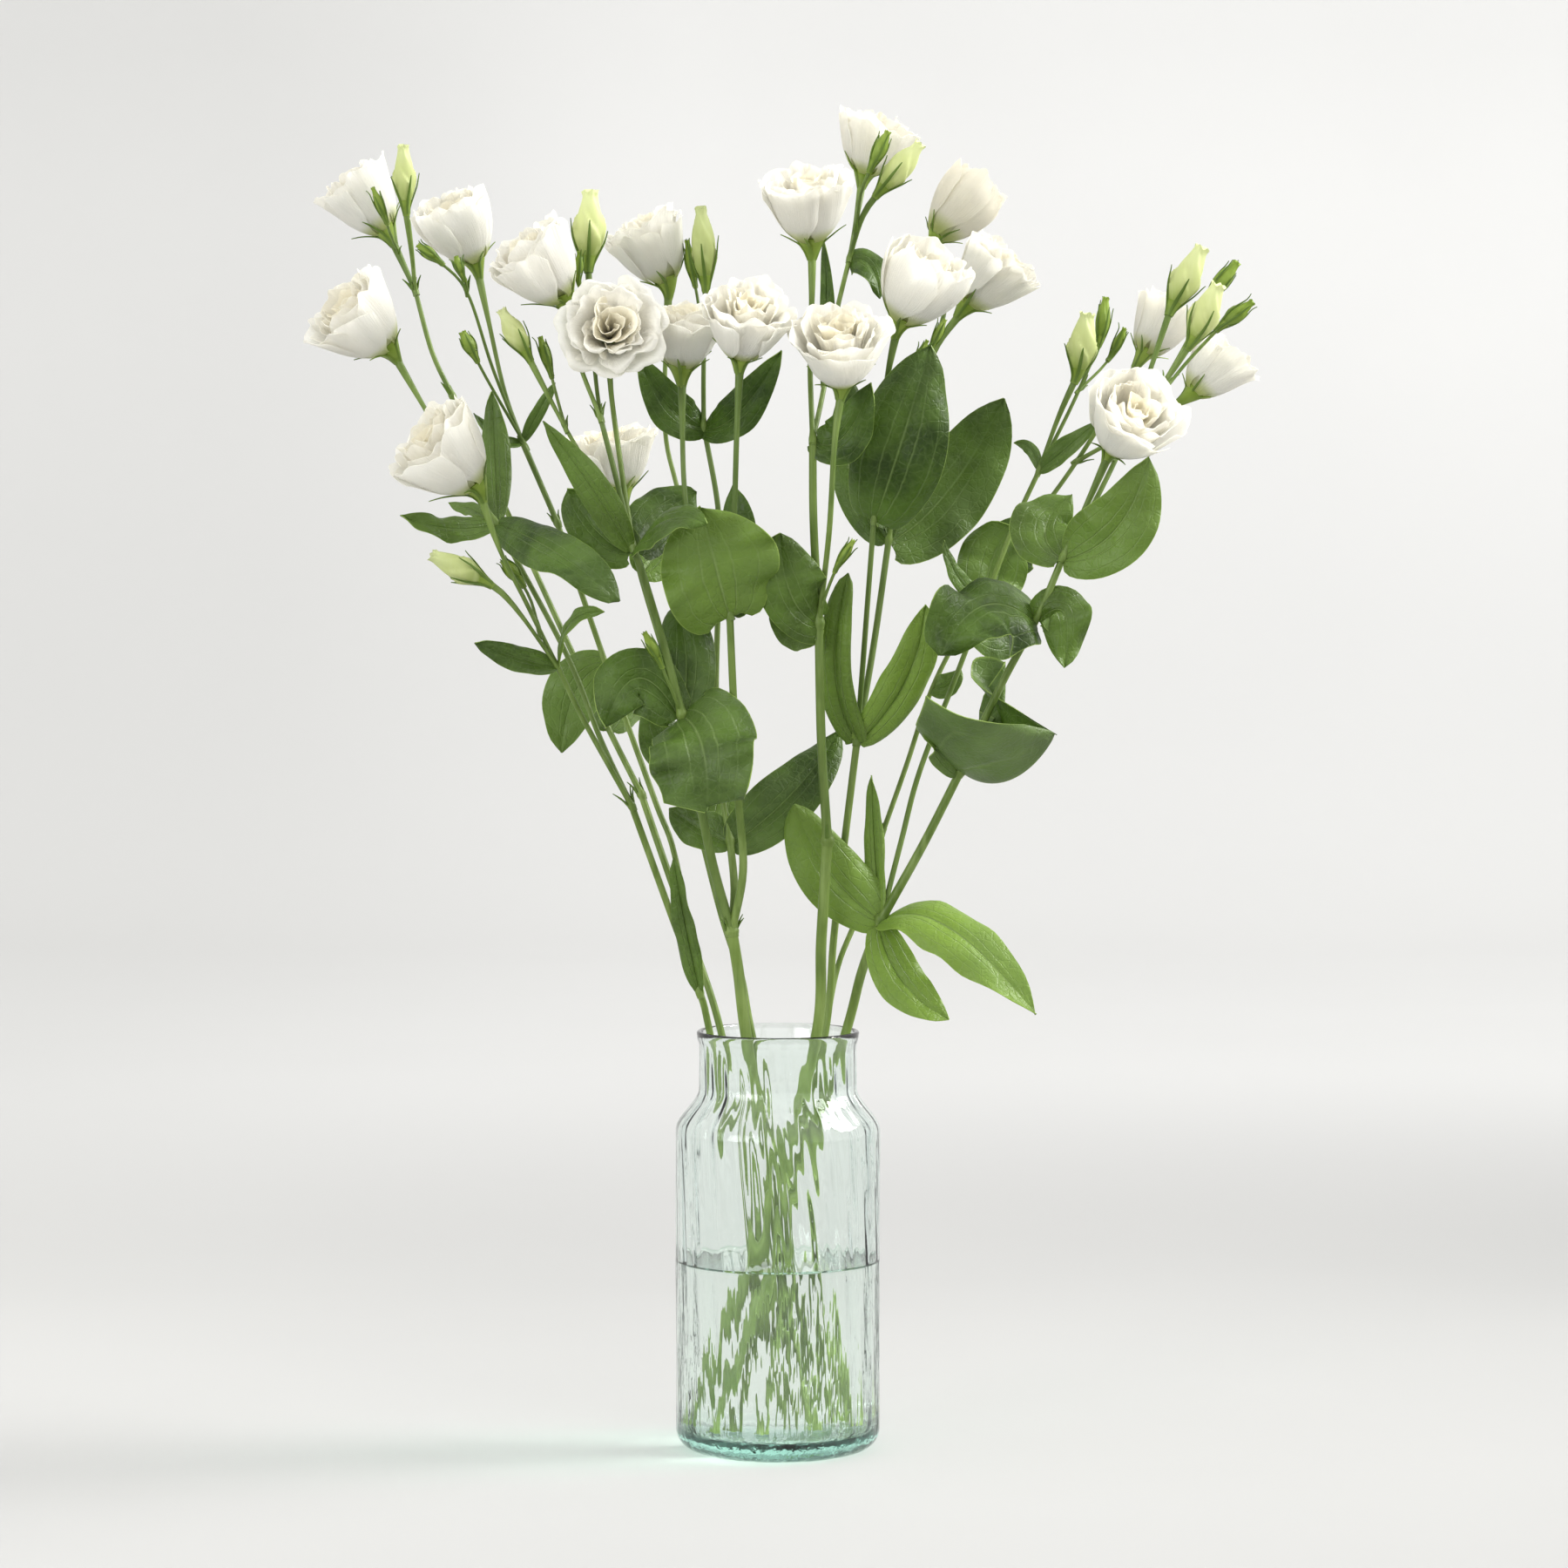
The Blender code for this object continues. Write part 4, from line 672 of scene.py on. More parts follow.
def stage_look():
    look = Look("stage", Roughness=0.9, Specular_IOR_Level=0.1)
    split = look.add("SeparateXYZ", {0: look.add("TexCoord", {}).outputs["Object"]})
    back, height = split.outputs["Y"], split.outputs["Z"]
    left = look.math("MULTIPLY", split.outputs["X"], -1.0)
    floor, wall = tint(FLOOR_TONE, FLOOR_TONE, FLOOR_TONE - 1), tint(WALL_TONE, WALL_TONE, WALL_TONE - 1)
    # Painted light on the stage: lighter from floor to wall and further up the wall, where less light
    # reaches, and darker on the left as painted shade; the last mix adds an uneven tone at random.
    painted_light_sweep = look.mix(look.rise(back, 0.5, 1.9), floor, wall)
    painted_light_sweep = look.mix(look.rise(height, 0.2, 1.1, 0.0, 0.6), painted_light_sweep, tint(246, 246, 245))
    painted_light_sweep = look.mix(look.rise(left, 0.1, 0.8, 0.0, 0.35), painted_light_sweep, tint(196, 196, 194))
    look.colour(look.mix(look.rise(look.noise(2.0), 0.3, 0.7, 0.0, 0.06), painted_light_sweep, tint(200, 200, 199)))
    return look.material


# The vase and the water: points round each ring, waves round the wall, and rings up the wall and the water.
SIDES = 256
RIPPLES = 23
WALL_RINGS = 74
WATER_RINGS = 34

# In mm: where the lip's flare starts and ends under the top, how round the lip is across and up, the round
# corner and the raised middle of the inner floor, and how strong the waves are outside, inside and there.
LIP_FLARE = (8, 2)
LIP_ACROSS = 1.4
LIP_UP = 1.2
INNER_CORNER = 9
FLOOR_RISE = 2.5
OUTER_WAVE = -0.22
INNER_WAVE = 0.42
CORNER_WAVE = 0.3

# In mm: how far the water reaches into the glass, and its rim, as rows of the way in from the wall and the
# drop under its height.
WATER_SEAT = 0.12
WATER_RIM = ((0.5, 0.35), (1.2, 0.9), (2.2, 1.35), (3.6, 1.6), (8, 1.7), (22, 1.7), (40, 1.7))


def ripple(angle, height):
    """The inner wall's waves in mm at an angle and a height, uneven and slowly drifting."""
    drift = 0.9 * np.sin(height / 31 + 2 * angle) + 0.6 * np.sin(height / 17 + 5 * angle + 1.3)
    wave = np.cos(RIPPLES * angle + drift)
    wave += 0.45 * np.cos((2 * RIPPLES + 1) * angle - 1.7 * drift + height / 9)
    return wave * (0.75 + 0.25 * np.sin(3 * angle + height / 23))


def blow(profile, share):
    """Rings of the vase from (radius, height, ripple in mm) rows."""
    angle = np.linspace(0, 2 * math.pi, SIDES, endpoint=False)
    rings = []
    for radius, height, waves in profile:
        r = radius + share * waves * ripple(angle, height)
        rings.append(np.stack([r * np.cos(angle), r * np.sin(angle), np.full(SIDES, height)], axis=-1))
    return np.array(rings)


def wall_radius(height):
    """The outer radius of the vase above its foot."""
    rise = ease(height, SHOULDER_FOOT, SHOULDER_TOP)
    lip = ease(height, VASE_HEIGHT - LIP_FLARE[0], VASE_HEIGHT - LIP_FLARE[1])
    return BODY_RADIUS + (NECK_RADIUS - BODY_RADIUS) * rise + (LIP_RADIUS - NECK_RADIUS) * lip


def make_vase(look):
    outside = []
    for a in np.linspace(0, math.pi / 2, 10):
        outside.append((BODY_RADIUS - FOOT_CORNER * (1 - math.sin(a)), FOOT_CORNER * (1 - math.cos(a)), 0.0))
    for height in np.linspace(FOOT_CORNER + 3, VASE_HEIGHT - LIP_UP, WALL_RINGS):
        outside.append((wall_radius(height), height, OUTER_WAVE * ease(VASE_HEIGHT - height, 2, 25)))
    for a in np.linspace(0.3, math.pi - 0.3, 6):
        reach = LIP_RADIUS - LIP_ACROSS + LIP_ACROSS * math.cos(a)
        outside.append((reach, VASE_HEIGHT - LIP_UP + LIP_UP * math.sin(a), 0.0))
    inside = []
    for height in np.linspace(VASE_HEIGHT - 3, FLOOR + INNER_CORNER, WALL_RINGS):
        inside.append((wall_radius(height) - WALL, height, INNER_WAVE * ease(VASE_HEIGHT - height, 2, 30)))
    for a in np.linspace(0.2, math.pi / 2, 7):
        reach = BODY_RADIUS - WALL - INNER_CORNER * (1 - math.cos(a))
        inside.append((reach, FLOOR + INNER_CORNER * (1 - math.sin(a)), CORNER_WAVE * math.cos(a)))
    for share in (0.8, 0.6, 0.4, 0.2):
        reach = (BODY_RADIUS - WALL - INNER_CORNER) * share
        inside.append((reach, FLOOR + FLOOR_RISE * (1 - share) ** 2, 0.0))
    return piece("glass_vase", [round_body(blow(outside + inside, 1.0), 0.0)], look, ["vase"])


def make_water(look):
    foot = FLOOR - WATER_SEAT
    profile = []
    for share in (0.2, 0.4, 0.6, 0.8):
        reach = (BODY_RADIUS - WALL - INNER_CORNER) * share
        profile.append((reach, foot + FLOOR_RISE * (1 - share) ** 2, 0.0))
    for a in np.linspace(math.pi / 2, 0.2, 7):
        reach = BODY_RADIUS - WALL + WATER_SEAT - INNER_CORNER * (1 - math.cos(a))
        profile.append((reach, foot + INNER_CORNER * (1 - math.sin(a)), CORNER_WAVE * math.cos(a)))
    for height in np.linspace(FLOOR + INNER_CORNER, WATER_TOP, WATER_RINGS):
        profile.append((wall_radius(height) - WALL + WATER_SEAT, height, INNER_WAVE))
    for inward, drop in WATER_RIM:
        wave = INNER_WAVE * max(0.0, 1 - inward / 3)
        profile.append((BODY_RADIUS - WALL - inward, WATER_TOP - drop, wave))
    return piece("vase_water", [round_body(blow(profile, 1.0), 0.0)], look, ["water"])


# Stalks: their sides, and their radius in mm where they meet a bloom or a large bud.
STALK_SIDES = 12
BLOOM_STALK = 2.3
BUD_STALK = 1.8


def swelling(distance, total, first, last, held):
    """A stalk's radius along its way: a knot at the fork, and a flare under the flower it holds."""
    radius = first + (last - first) * distance / total
    radius = radius * (1 + 0.35 * np.exp(-((distance / 3.0) ** 2)))
    return radius + max(0.0, held - last) * ease(distance, total - 38, total)


def stalk(places, first, last, held, tone):
    """A tapering stalk through the places, and the direction it arrives in."""
    points = curve(places, 5.0)
    steps = np.linalg.norm(np.diff(points, axis=0), axis=1)
    distance = np.concatenate([[0], np.cumsum(steps)])
    radii = swelling(distance, distance[-1], first, last, held)
    return tube(points, radii, STALK_SIDES, tone), unit(points[-1] - points[-3])


def knot(point, along, radius, tone):
    """The swollen ring of a joint, where leaves sit."""
    heights = np.linspace(-3.2, 3.2, 9)
    radii = radius * (1 + 0.3 * np.cos(heights / 3.2 * math.pi / 2) ** 2)
    return turned(point, unit(along), heights, np.repeat(radii[:, None], STALK_SIDES, axis=1), tone)


# Leaves: their thickness in mm, their rows of points, and the places across them as shares of half the width.
LEAF_THICK = 0.45
LEAF_ROWS = 26
ACROSS = np.array([-1, -0.93, -0.8, -0.62, -0.42, -0.22, -0.08, 0, 0.08, 0.22, 0.42, 0.62, 0.8, 0.93, 1.0])


# Leaves with a way of their own, by where the tip is seen: how far the sides roll back, in radians, how
# wavy it is, how far it twists in degrees, its tone from dark to bright, which is painted shade and painted
# light (low for leaves that lie in shade, high for lit ones), how blunt it is, and a share of its width.
LEAF_WAYS = {
    (773, 984): (1.2, 0.8, 10, 0.25, 0.2, 1.0),
    (545, 738): (0.7, 1.2, 20, 0.20, 0.0, 1.0),
    (460, 592): (0.5, 1.4, 15, 0.35, 0.0, 1.1),
    (712, 690): (0.7, 1.3, 10, 0.05, 0.9, 0.85),
    (566, 450): (0.9, 0.9, 15, 0.30, 0.1, 1.1),
    (644, 864): (0.4, 1.0, -15, 0.45, 0.3, 1.0),
    (624, 484): (1.0, 0.7, 15, 0.40, 0.0, 1.1),
    (652, 562): (0.5, 1.2, 10, 0.25, 0.5, 1.0),
    (812, 602): (0.9, 0.8, -10, 0.22, 0.2, 1.1),
    (800, 566): (0.7, 1.0, 10, 0.10, 0.5, 1.0),
    (806, 584): (0.30, 1.3, 6, 0.60, 0.45, 1.05),
    (842, 556): (0.5, 1.2, 0, 0.15, 0.2, 1.0),
    (897, 403): (0.7, 0.9, -20, 0.05, 0.2, 1.0),
    (735, 412): (0.6, 0.9, 15, 0.05, 0.3, 1.0),
    (812, 926): (0.45, 1.6, -6, 0.12, 1.5, 0.98),
    (778, 694): (1.1, 0.8, 0, 0.02, 0.8, 1.15),
    (694, 836): (0.8, 1.2, 15, 0.15, 0.5, 1.0),
    (768, 928): (0.5, 1.2, 0, 0.25, 0.3, 1.0),
    (966, 838): (0.6, 0.7, 10, 0.15, 0.2, 1.0),
    (896, 612): (0.8, 1.8, 0, 0.30, 0.75, 1.0),
    (884, 700): (0.6, 1.2, 0, 0.35, 0.3, 1.0),
    (1000, 440): (0.6, 1.0, 10, 0.10, 0.3, 1.0),
    (974, 658): (2.3, 0.4, 0, 0.50, 0.8, 1.9),
    (1062, 694): (1.3, 0.5, 15, 0.80, 0.4, 1.3),
    (1068, 398): (0.9, 0.6, -10, 0.12, 0.4, 1.0),
    (1152, 458): (0.5, 0.7, 15, 0.25, 0.5, 1.0),
    (912, 924): (0.9, 0.8, 5, 0.70, 0.5, 1.05),
    (1001, 890): (1.2, 0.6, 10, 0.85, 0.2, 1.2),
    (1090, 1172): (0.5, 0.7, 10, 0.75, 0.3, 1.0),
    (1190, 1166): (0.7, 0.8, -12, 1.00, 0.3, 1.0),
    (1211, 842): (-0.7, 0.5, 12, 0.15, 0.9, 1.45),
    (1058, 834): (0.7, 1.2, 0, 0.35, 0.5, 1.0),
    (1080, 752): (0.5, 2.6, 20, 0.12, 0.9, 1.1),
    (1222, 766): (0.6, 1.8, -10, 0.30, 0.6, 1.0),
    (1230, 568): (0.5, 1.5, 10, 0.35, 0.4, 1.05),
    (1318, 524): (0.5, 1.0, -12, 0.50, 0.1, 1.0),
    (1160, 604): (0.7, 1.0, 10, 0.45, 0.7, 1.0),
}


def leaf_outline(t, blunt):
    """Half the width at t from base to tip, as a share of the widest."""
    body = np.sin(math.pi * np.clip(t, 0, 1) ** (0.8 + 0.15 * blunt)) ** (0.72 - 0.3 * blunt)
    body = np.maximum(body, (0.2 + 0.3 * min(blunt, 1.0)) * (1 - t) ** 0.5)
    return body * (1 - ease(t, 0.9, 1.0) * 0.45 * (1 - blunt)) + 0.004


def leaf(base, middle, tip, width, face, fold, way, draw):
    """A pointed oval leaf along an arched rib, with a sunk rib, rolled sides, a twist and uneven waves."""
    curl, wave, twist, tone, blunt, widen = way
    t = np.linspace(0, 1, LEAF_ROWS)[:, None]
    control = middle * 2 - (base + tip) / 2
    rib = base * (1 - t) ** 2 + control * (2 * t * (1 - t)) + tip * t**2
    along = unit((control - base) * (1 - t) + (tip - control) * t)
    flat_across = unit(np.cross(along, face))
    flat_up = np.cross(flat_across, along)
    turn = np.radians(twist) * (t - 0.3) * 1.4
    across = flat_across * np.cos(turn) + flat_up * np.sin(turn)
    up = flat_up * np.cos(turn) - flat_across * np.sin(turn)
    c = ACROSS[None, :]
    uneven = 0.07 * np.sin(math.pi * (1.6 * t + 0.35 * np.sign(c)) + draw.uniform(0, 6))
    half = width / 2 * widen * leaf_outline(t, blunt) * (1 + uneven * wave)
    lift = math.radians(fold)
    ripples = np.zeros((LEAF_ROWS, len(ACROSS)))
    for side in (-1, 1):
        for pace, size, grow in ((draw.uniform(1.0, 1.7), 0.065, 1.7), (draw.uniform(2.6, 3.8), 0.035, 1.7),
                                 (draw.uniform(4.5, 6.0), 0.012, 0.8)):
            phase = draw.uniform(0, 2 * math.pi)
            ripples += size * (c * side > 0) * np.sin(2 * math.pi * pace * t + phase) * np.abs(c) ** grow
    crumple = 0
    for size, slow, fast, lean in ((0.022, 1.4, 2.2, 0.35), (0.014, 2.4, 3.4, -0.6)):
        phase = 2 * math.pi * (draw.uniform(slow, fast) * t + lean * c) + draw.uniform(0, 6)
        crumple = crumple + size * np.sin(phase)
    quilt = 0.011 * np.sin(2 * math.pi * 3.3 * (t - 0.25 * np.abs(c)) + draw.uniform(0, 6))
    quilt = quilt * np.sin(math.pi * c * 2.6)
    ripples = ((ripples + crumple * np.abs(c)) * wave + quilt) * width * ease(t, 0.05, 0.35)
    roll = curl * (0.75 + 0.4 * np.sin(math.pi * t + draw.uniform(-0.5, 0.5)))
    way_out = np.linspace(0, 1, 33)
    bend = roll * way_out[None, :] ** 1.6
    out = np.cumsum(np.cos(bend), axis=1) / 33
    down = np.cumsum(np.sin(bend), axis=1) / 33
    flat = np.array([np.interp(np.abs(ACROSS), way_out, row) for row in out]) * np.sign(c) * half
    sunk = np.array([np.interp(np.abs(ACROSS), way_out, row) for row in down])
    arch = (np.abs(c) * math.sin(lift) - sunk - 0.05 * np.exp(-((c / 0.07) ** 2))) * half
    grid = rib[:, None, :] + flat[:, :, None] * across[:, None, :]
    grid = grid + (arch + ripples)[:, :, None] * up[:, None, :]
    lobes = min(0.08 + 0.16 * blunt, 0.24) * width * np.abs(c) ** 1.7 * (t / 0.09) * np.exp(1 - t / 0.09)
    grid = grid - lobes[:, :, None] * along[0]
    return sheet(grid, LEAF_THICK, tone)


# Flowers. Rings of petals from the outermost in: how many, share of the width, share of the height, half the
# turn a petal spans in degrees, its tone, and its rows and columns of points.
PETAL_RINGS = (
    (5, 1.00, 0.97, 47, 0.00, 17, 27),
    (4, 0.88, 1.00, 52, 0.08, 15, 25),
    (4, 0.70, 0.98, 54, 0.25, 13, 21),
    (4, 0.52, 0.95, 56, 0.45, 12, 19),
)
PETAL_THICK = 0.22
CLAW = 2.4

# How each bloom opens: how far its rim flares, how much its petals stray from their rings, and its tone.
BLOOM_WAYS = (
    (0.16, 1.2, 0.10), (0.14, 1.1, 0.15), (0.16, 1.1, 0.20), (0.04, 0.9, 0.05), (0.12, 1.2, 0.00),
    (0.22, 1.3, 0.00), (0.45, 1.3, 0.05), (0.30, 1.2, 0.00), (0.24, 1.3, 0.10), (0.20, 1.2, 0.20),
    (0.20, 1.3, 0.05), (0.22, 1.3, 0.10), (0.16, 1.2, 0.30), (-0.02, 0.8, 0.00), (-0.10, 0.8, 0.55),
    (0.16, 1.2, 0.20), (0.14, 0.8, 0.05), (0.10, 1.0, 0.30), (0.18, 1.2, 0.25),
)


def cup(share, power):
    """The bloom's radius as a share of the widest, at a share of its height."""
    return np.sin(np.clip(share * 1.12, 0, 1) * math.pi / 2) ** power


def cup_power(opened):
    """How round the cup's foot is: a bowl, or nearer a cone where the bloom is wide open."""
    return 0.66 + 1.6 * max(opened - 0.25, 0)


# The heart's two coiled petals: turns, radius at the outer and inner end as shares of the width, rows and
# columns.
HEART = (1.35, 0.19, 0.025, 11, 45)


def waves(u, paces, draw):
    """Uneven waves across a petal from a few sines of given (pace, size)."""
    found = np.zeros_like(u)
    for pace, size in paces:
        turns = u * math.pi * pace * draw.uniform(0.85, 1.15)
        found = found + size * np.sin(turns + draw.uniform(0, 2 * math.pi))
    return found


def petal(base, axis, width, height, angle, ring, way, draw):
    """One petal: a bowl from a narrow claw, with a rounded, flaring and ruffled rim."""
    wide, tall, span, tone, rows, columns = ring[1:]
    opened, stray, warm = way
    inner = 1 - wide
    side, other = sides_of(axis)
    v = np.linspace(0, 1, rows)[:, None] ** 0.85
    u = np.linspace(-1, 1, columns)[None, :]
    flared = (opened + 0.06 * stray * draw.uniform(-1, 1)) * (0.5 + 0.5 * wide)
    reach = width / 2 * wide * (1 + draw.uniform(-0.06, 0.06) * stray * (1 + 2 * inner))
    reach = reach / (1 + max(flared, 0))
    top = height * tall * (1 + draw.uniform(-0.09, 0.03) * stray)
    top = top * (1 - 0.45 * max(opened, 0) * ease(wide, 0.6, 1.0))
    crimps = waves(u, ((7, 0.6), (12, 0.35), (19, 0.15)), draw)
    h = v * (1 - (0.04 + 0.16 * v**2) * np.abs(u) ** 3.5) + 0.007 * crimps * v**6
    turn = angle + u * math.radians(span) * (0.4 + 0.6 * ease(h, 0.0, 0.45))
    turn = turn + (0.22 * stray * draw.uniform(-1, 1) + 0.5 * inner) * h**2
    ruffle = waves(u, ((1.3, 0.7), (2.4, 0.5), (4.2, 0.18 + 0.2 * inner)), draw)
    corners = [draw.uniform(-0.3, 1.0) * 0.12 * wide * (opened > 0) for _ in (0, 1)]
    corner = np.where(u < 0, corners[0], corners[1]) * np.abs(u) ** 3 * h**4
    power = cup_power(opened) + 0.45 * inner
    radius = CLAW * (1 - 0.5 * inner) + (reach - CLAW) * cup(h, power)
    radius = radius + reach * (flared * ease(h, 0.5, 1.05) ** 1.5 + corner + (0.07 + 0.12 * inner) * u * h)
    radius = radius + width * 0.036 * stray * ruffle * h**3
    radius = radius + 0.09 * waves(u, ((4.2, 1.0), (6.3, 0.5)), draw) * ease(h, 0.1, 0.5)
    radius = radius + 0.22 * crimps * ease(h, 0.85, 1.0) * (0.4 + 0.6 * wide)
    radius = radius * (1 + 0.3 * inner * inner * h * np.sin(2 * (turn - angle) + draw.uniform(0, 6)))
    rise = top * (h - max(flared, 0) * 0.5 * ease(h, 0.8, 1.05) ** 2)
    rise = rise + height * 0.035 * waves(u, ((1.7, 1.0), (3.4, 0.5)), draw) * v**4
    out = np.cos(turn)[:, :, None] * side + np.sin(turn)[:, :, None] * other
    drift = (side * draw.uniform(-1, 1) + other * draw.uniform(-1, 1)) * width * 0.06 * stray * inner
    grid = base + rise[:, :, None] * axis + np.maximum(radius, 0.4)[:, :, None] * out
    grid = grid + (v * h)[:, :, None] * drift
    return sheet(grid, PETAL_THICK, min(1.0, tone * (1 - 0.3 * warm) + warm))


def heart_petal(base, axis, width, height, angle, offset, way, draw):
    """A long petal coiled round the heart of a bloom, with a wavy edge that sinks to the middle."""
    turns, outside, inside, rows, columns = HEART
    opened, _, warm = way
    side, other = sides_of(axis)
    v = np.linspace(0, 1, rows)[:, None]
    u = np.linspace(0, 1, columns)[None, :]
    h = v * (1 - 0.10 * (2 * u - 1) ** 8) + 0.006 * waves(u * 6, ((1.6, 1.0), (2.9, 0.5)), draw) * v**5
    turn = angle + u * 2 * math.pi * turns + 0.4 * h
    full = outside + 0.3 * max(opened - 0.25, 0)
    reach = width * (full + (inside - full) * u**0.8)
    sway = 0.16 * np.sin(2 * turn + draw.uniform(0, 6))
    reach = reach * (1 + sway + 0.07 * waves(u * 8, ((1.0, 1.0),), draw))
    radius = 0.5 + reach * (0.25 * h + 0.75 * h**1.5)
    radius = radius + width * 0.012 * waves(u * 9, ((1.3, 1.0), (2.4, 0.5)), draw) * h**4
    top = height * (0.92 - 0.14 * u + 0.03 * np.sin(3 * turn + draw.uniform(0, 6)))
    out = np.cos(turn)[:, :, None] * side + np.sin(turn)[:, :, None] * other
    grid = base + (top * h)[:, :, None] * axis + np.maximum(radius, 0.4)[:, :, None] * out
    grid = grid + (h * h)[:, :, None] * offset
    return sheet(grid, PETAL_THICK, min(1.0, 0.75 * (1 - 0.3 * warm) + warm))


def make_bloom(number, base, heart, width, height, look, draw):
    axis = unit(heart - base)
    spin = draw.uniform(0, 2 * math.pi)
    shapes = []
    for k, ring in enumerate(PETAL_RINGS):
        for n in range(ring[0]):
            angle = spin + 2.4 * k + 2 * math.pi * (n + draw.uniform(-0.1, 0.1)) / ring[0]
            shapes.append(petal(base, axis, width, height, angle, ring, BLOOM_WAYS[number - 1], draw))
    side, other = sides_of(axis)
    offset = (side * draw.uniform(-1, 1) + other * draw.uniform(-1, 1)) * width * 0.03
    for n in range(2):
        angle = spin + math.pi * n + draw.uniform(-0.3, 0.3)
        shapes.append(heart_petal(base, axis, width, height, angle, offset, BLOOM_WAYS[number - 1], draw))
    name = f"bloom_{number:02d}"
    return piece(name + "_petals", shapes, look, [name])


def sepal(line, out, width, tone):
    """A thin pointed keeled sepal along a line of places, facing out."""
    line = curve(line, 2.0)
    t = np.linspace(0, 1, len(line))[:, None]
    along = unit(np.gradient(line, axis=0))
    across = unit(np.cross(along, out))
    up = np.cross(across, along)
    half = width / 2 * (0.55 + 0.9 * t * (1 - t)) * (1 - t**3) + 0.12
    c = np.linspace(-1, 1, 5)[None, :]
    keel = -0.55 * np.abs(c) ** 1.3 * half
    grid = line[:, None, :] + (c * half)[:, :, None] * across[:, None, :] + keel[:, :, None] * up[:, None, :]
    return sheet(grid, LEAF_THICK, tone)


def bent_axis(base, axis, arrive, down, up, steps):
    """Places from down a stalk that arrives at the base, round to the flower's axis."""
    t = np.linspace(0, 1, steps)[:, None]
    low, high = base - arrive * down, base + axis * up
    middle = base - (arrive + axis) * down * 0.2
    return low * (1 - t) ** 2 + middle * (2 * t * (1 - t)) + high * t**2


def calyx(base, heart, width, height, arrive, opened, draw):
    """The green funnel under a bloom and its five thin sepals."""
    axis = unit(heart - base)
    size = width / 50
    power = cup_power(opened)
    line = bent_axis(base, axis, arrive, 9.0, 4.2, 10)
    t = np.linspace(0, 1, 10)
    radii = 2.0 + (8.3 * size - 2.0) * (0.3 * t + 0.7 * t**2)
    shapes = [tube(line, radii, 20, 0.0)]
    side, other = sides_of(axis)
    spin = draw.uniform(0, 2 * math.pi)
    for n in range(5):
        angle = spin + 2 * math.pi * n / 5 + draw.uniform(-0.2, 0.2)
        out = side * math.cos(angle) + other * math.sin(angle)
        reach = draw.uniform(0.14, 0.30)
        free = draw.uniform(0.3, 4.5)
        places = [line[k] + out * (radii[k] + 0.1) for k in (1, 4, 7)]
        for share, off in ((0.45, 0.6), (0.75, 0.7 + 0.35 * free), (1.0, 0.9 + free)):
            h = reach * share
            away = CLAW + (width / 2 - CLAW) * cup(h, power) + off
            places.append(base + axis * (h * height) + out * away)
        shapes.append(sepal(places, out, 2.0 * size, draw.uniform(0.3, 0.8)))
    return shapes


# Buds: their rows and sides, and for a large and a small one how far up its sepals reach, as a share of its
# length, and how much wider than its outline the body is under them.
BUD_ROWS = 28
BUD_SIDES = 40
BUD_SEPALS = (0.55, 1.18)
GREEN_BUD_SEPALS = (0.95, 1.0)
BUD_TONES = (0.30, 0.35, 0.20, 0.00, 0.45, 0.10, 0.30, 0.20, 0.05)


def bud_outline(t):
    """A bud's radius as a share of the widest: a rounded foot, a full body and a blunt open tip."""
    foot = np.sin(np.clip(t / 0.42, 0, 1) * math.pi / 2) ** 0.8
    taper = 1 - 0.58 * ease(t, 0.42, 1.0) ** 1.2
    return (0.2 + 0.8 * foot) * taper * (1 + 0.16 * ease(t, 0.94, 1.0))


def furled(base, tip, width, twist, tone, draw):
    """The furled petals of a bud, as a body with overlapping twisted ridges and a ruffled tip."""
    axis = unit(tip - base)
    length = np.linalg.norm(tip - base)
    t = np.linspace(0, 1, BUD_ROWS)[:, None]
    angle = np.linspace(0, 2 * math.pi, BUD_SIDES, endpoint=False)[None, :]
    saw = (4 * (angle / (2 * math.pi) + twist * t**0.8) + draw.random()) % 1.0
    ridge = 1.08 + 0.3 * (saw - 0.5) * ease(t, 0.08, 0.4) * ease(saw, 0.0, 0.12)
    ridge = ridge + 0.12 * ease(t, 0.9, 1.0) * np.sin(7 * angle + 1.3 * np.sin(3 * angle))
    heights = length * (t + 0.025 * ease(t, 0.85, 1.0) * np.sin(5 * angle + draw.uniform(0, 6)))
    side, other = sides_of(axis)
    out = np.cos(angle)[..., None] * side + np.sin(angle)[..., None] * other
    radius = width / 2 * bud_outline(t) * ridge
    rings = base + heights[..., None] * axis + radius[..., None] * out
    return round_body(rings, tone)


def bud_cup(base, tip, width, reach, puffed, arrive, draw):
    """The funnel and thin sepals that hug a bud."""
    axis = unit(tip - base)
    length = np.linalg.norm(tip - base)
    size = width / 2
    line = bent_axis(base, axis, arrive, 5.0, 0.10 * length, 8)
    t = np.linspace(0, 1, 8)
    radii = 0.24 * size + 0.6 + (0.64 * size - 0.6 - 0.24 * size) * t**1.8
    shapes = [tube(line, radii, 16, 0.25)]
    side, other = sides_of(axis)
    spin = draw.uniform(0, 2 * math.pi)
    for n in range(5):
        angle = spin + 2 * math.pi * n / 5 + draw.uniform(-0.15, 0.15)
        out = side * math.cos(angle) + other * math.sin(angle)
        far = reach * draw.uniform(0.8, 1.15)
        free = draw.uniform(0.0, 1.0)
        places = [line[k] + out * (radii[k] + 0.05) for k in (1, 4)]
        offs = (0.25, 0.35 + 0.4 * free, 0.6 + 1.3 * free, 0.9 + 2.4 * free)
        for share, off in zip((0.3, 0.6, 0.85, 1.0), offs):
            h = min(far * share, 1.1)
            body = size * puffed * float(bud_outline(np.array(min(h, 1.0))))
            places.append(base + axis * (h * length) + out * (body + off))
        shapes.append(sepal(places, out, max(1.2, width * 0.14), 0.85))
    return shapes


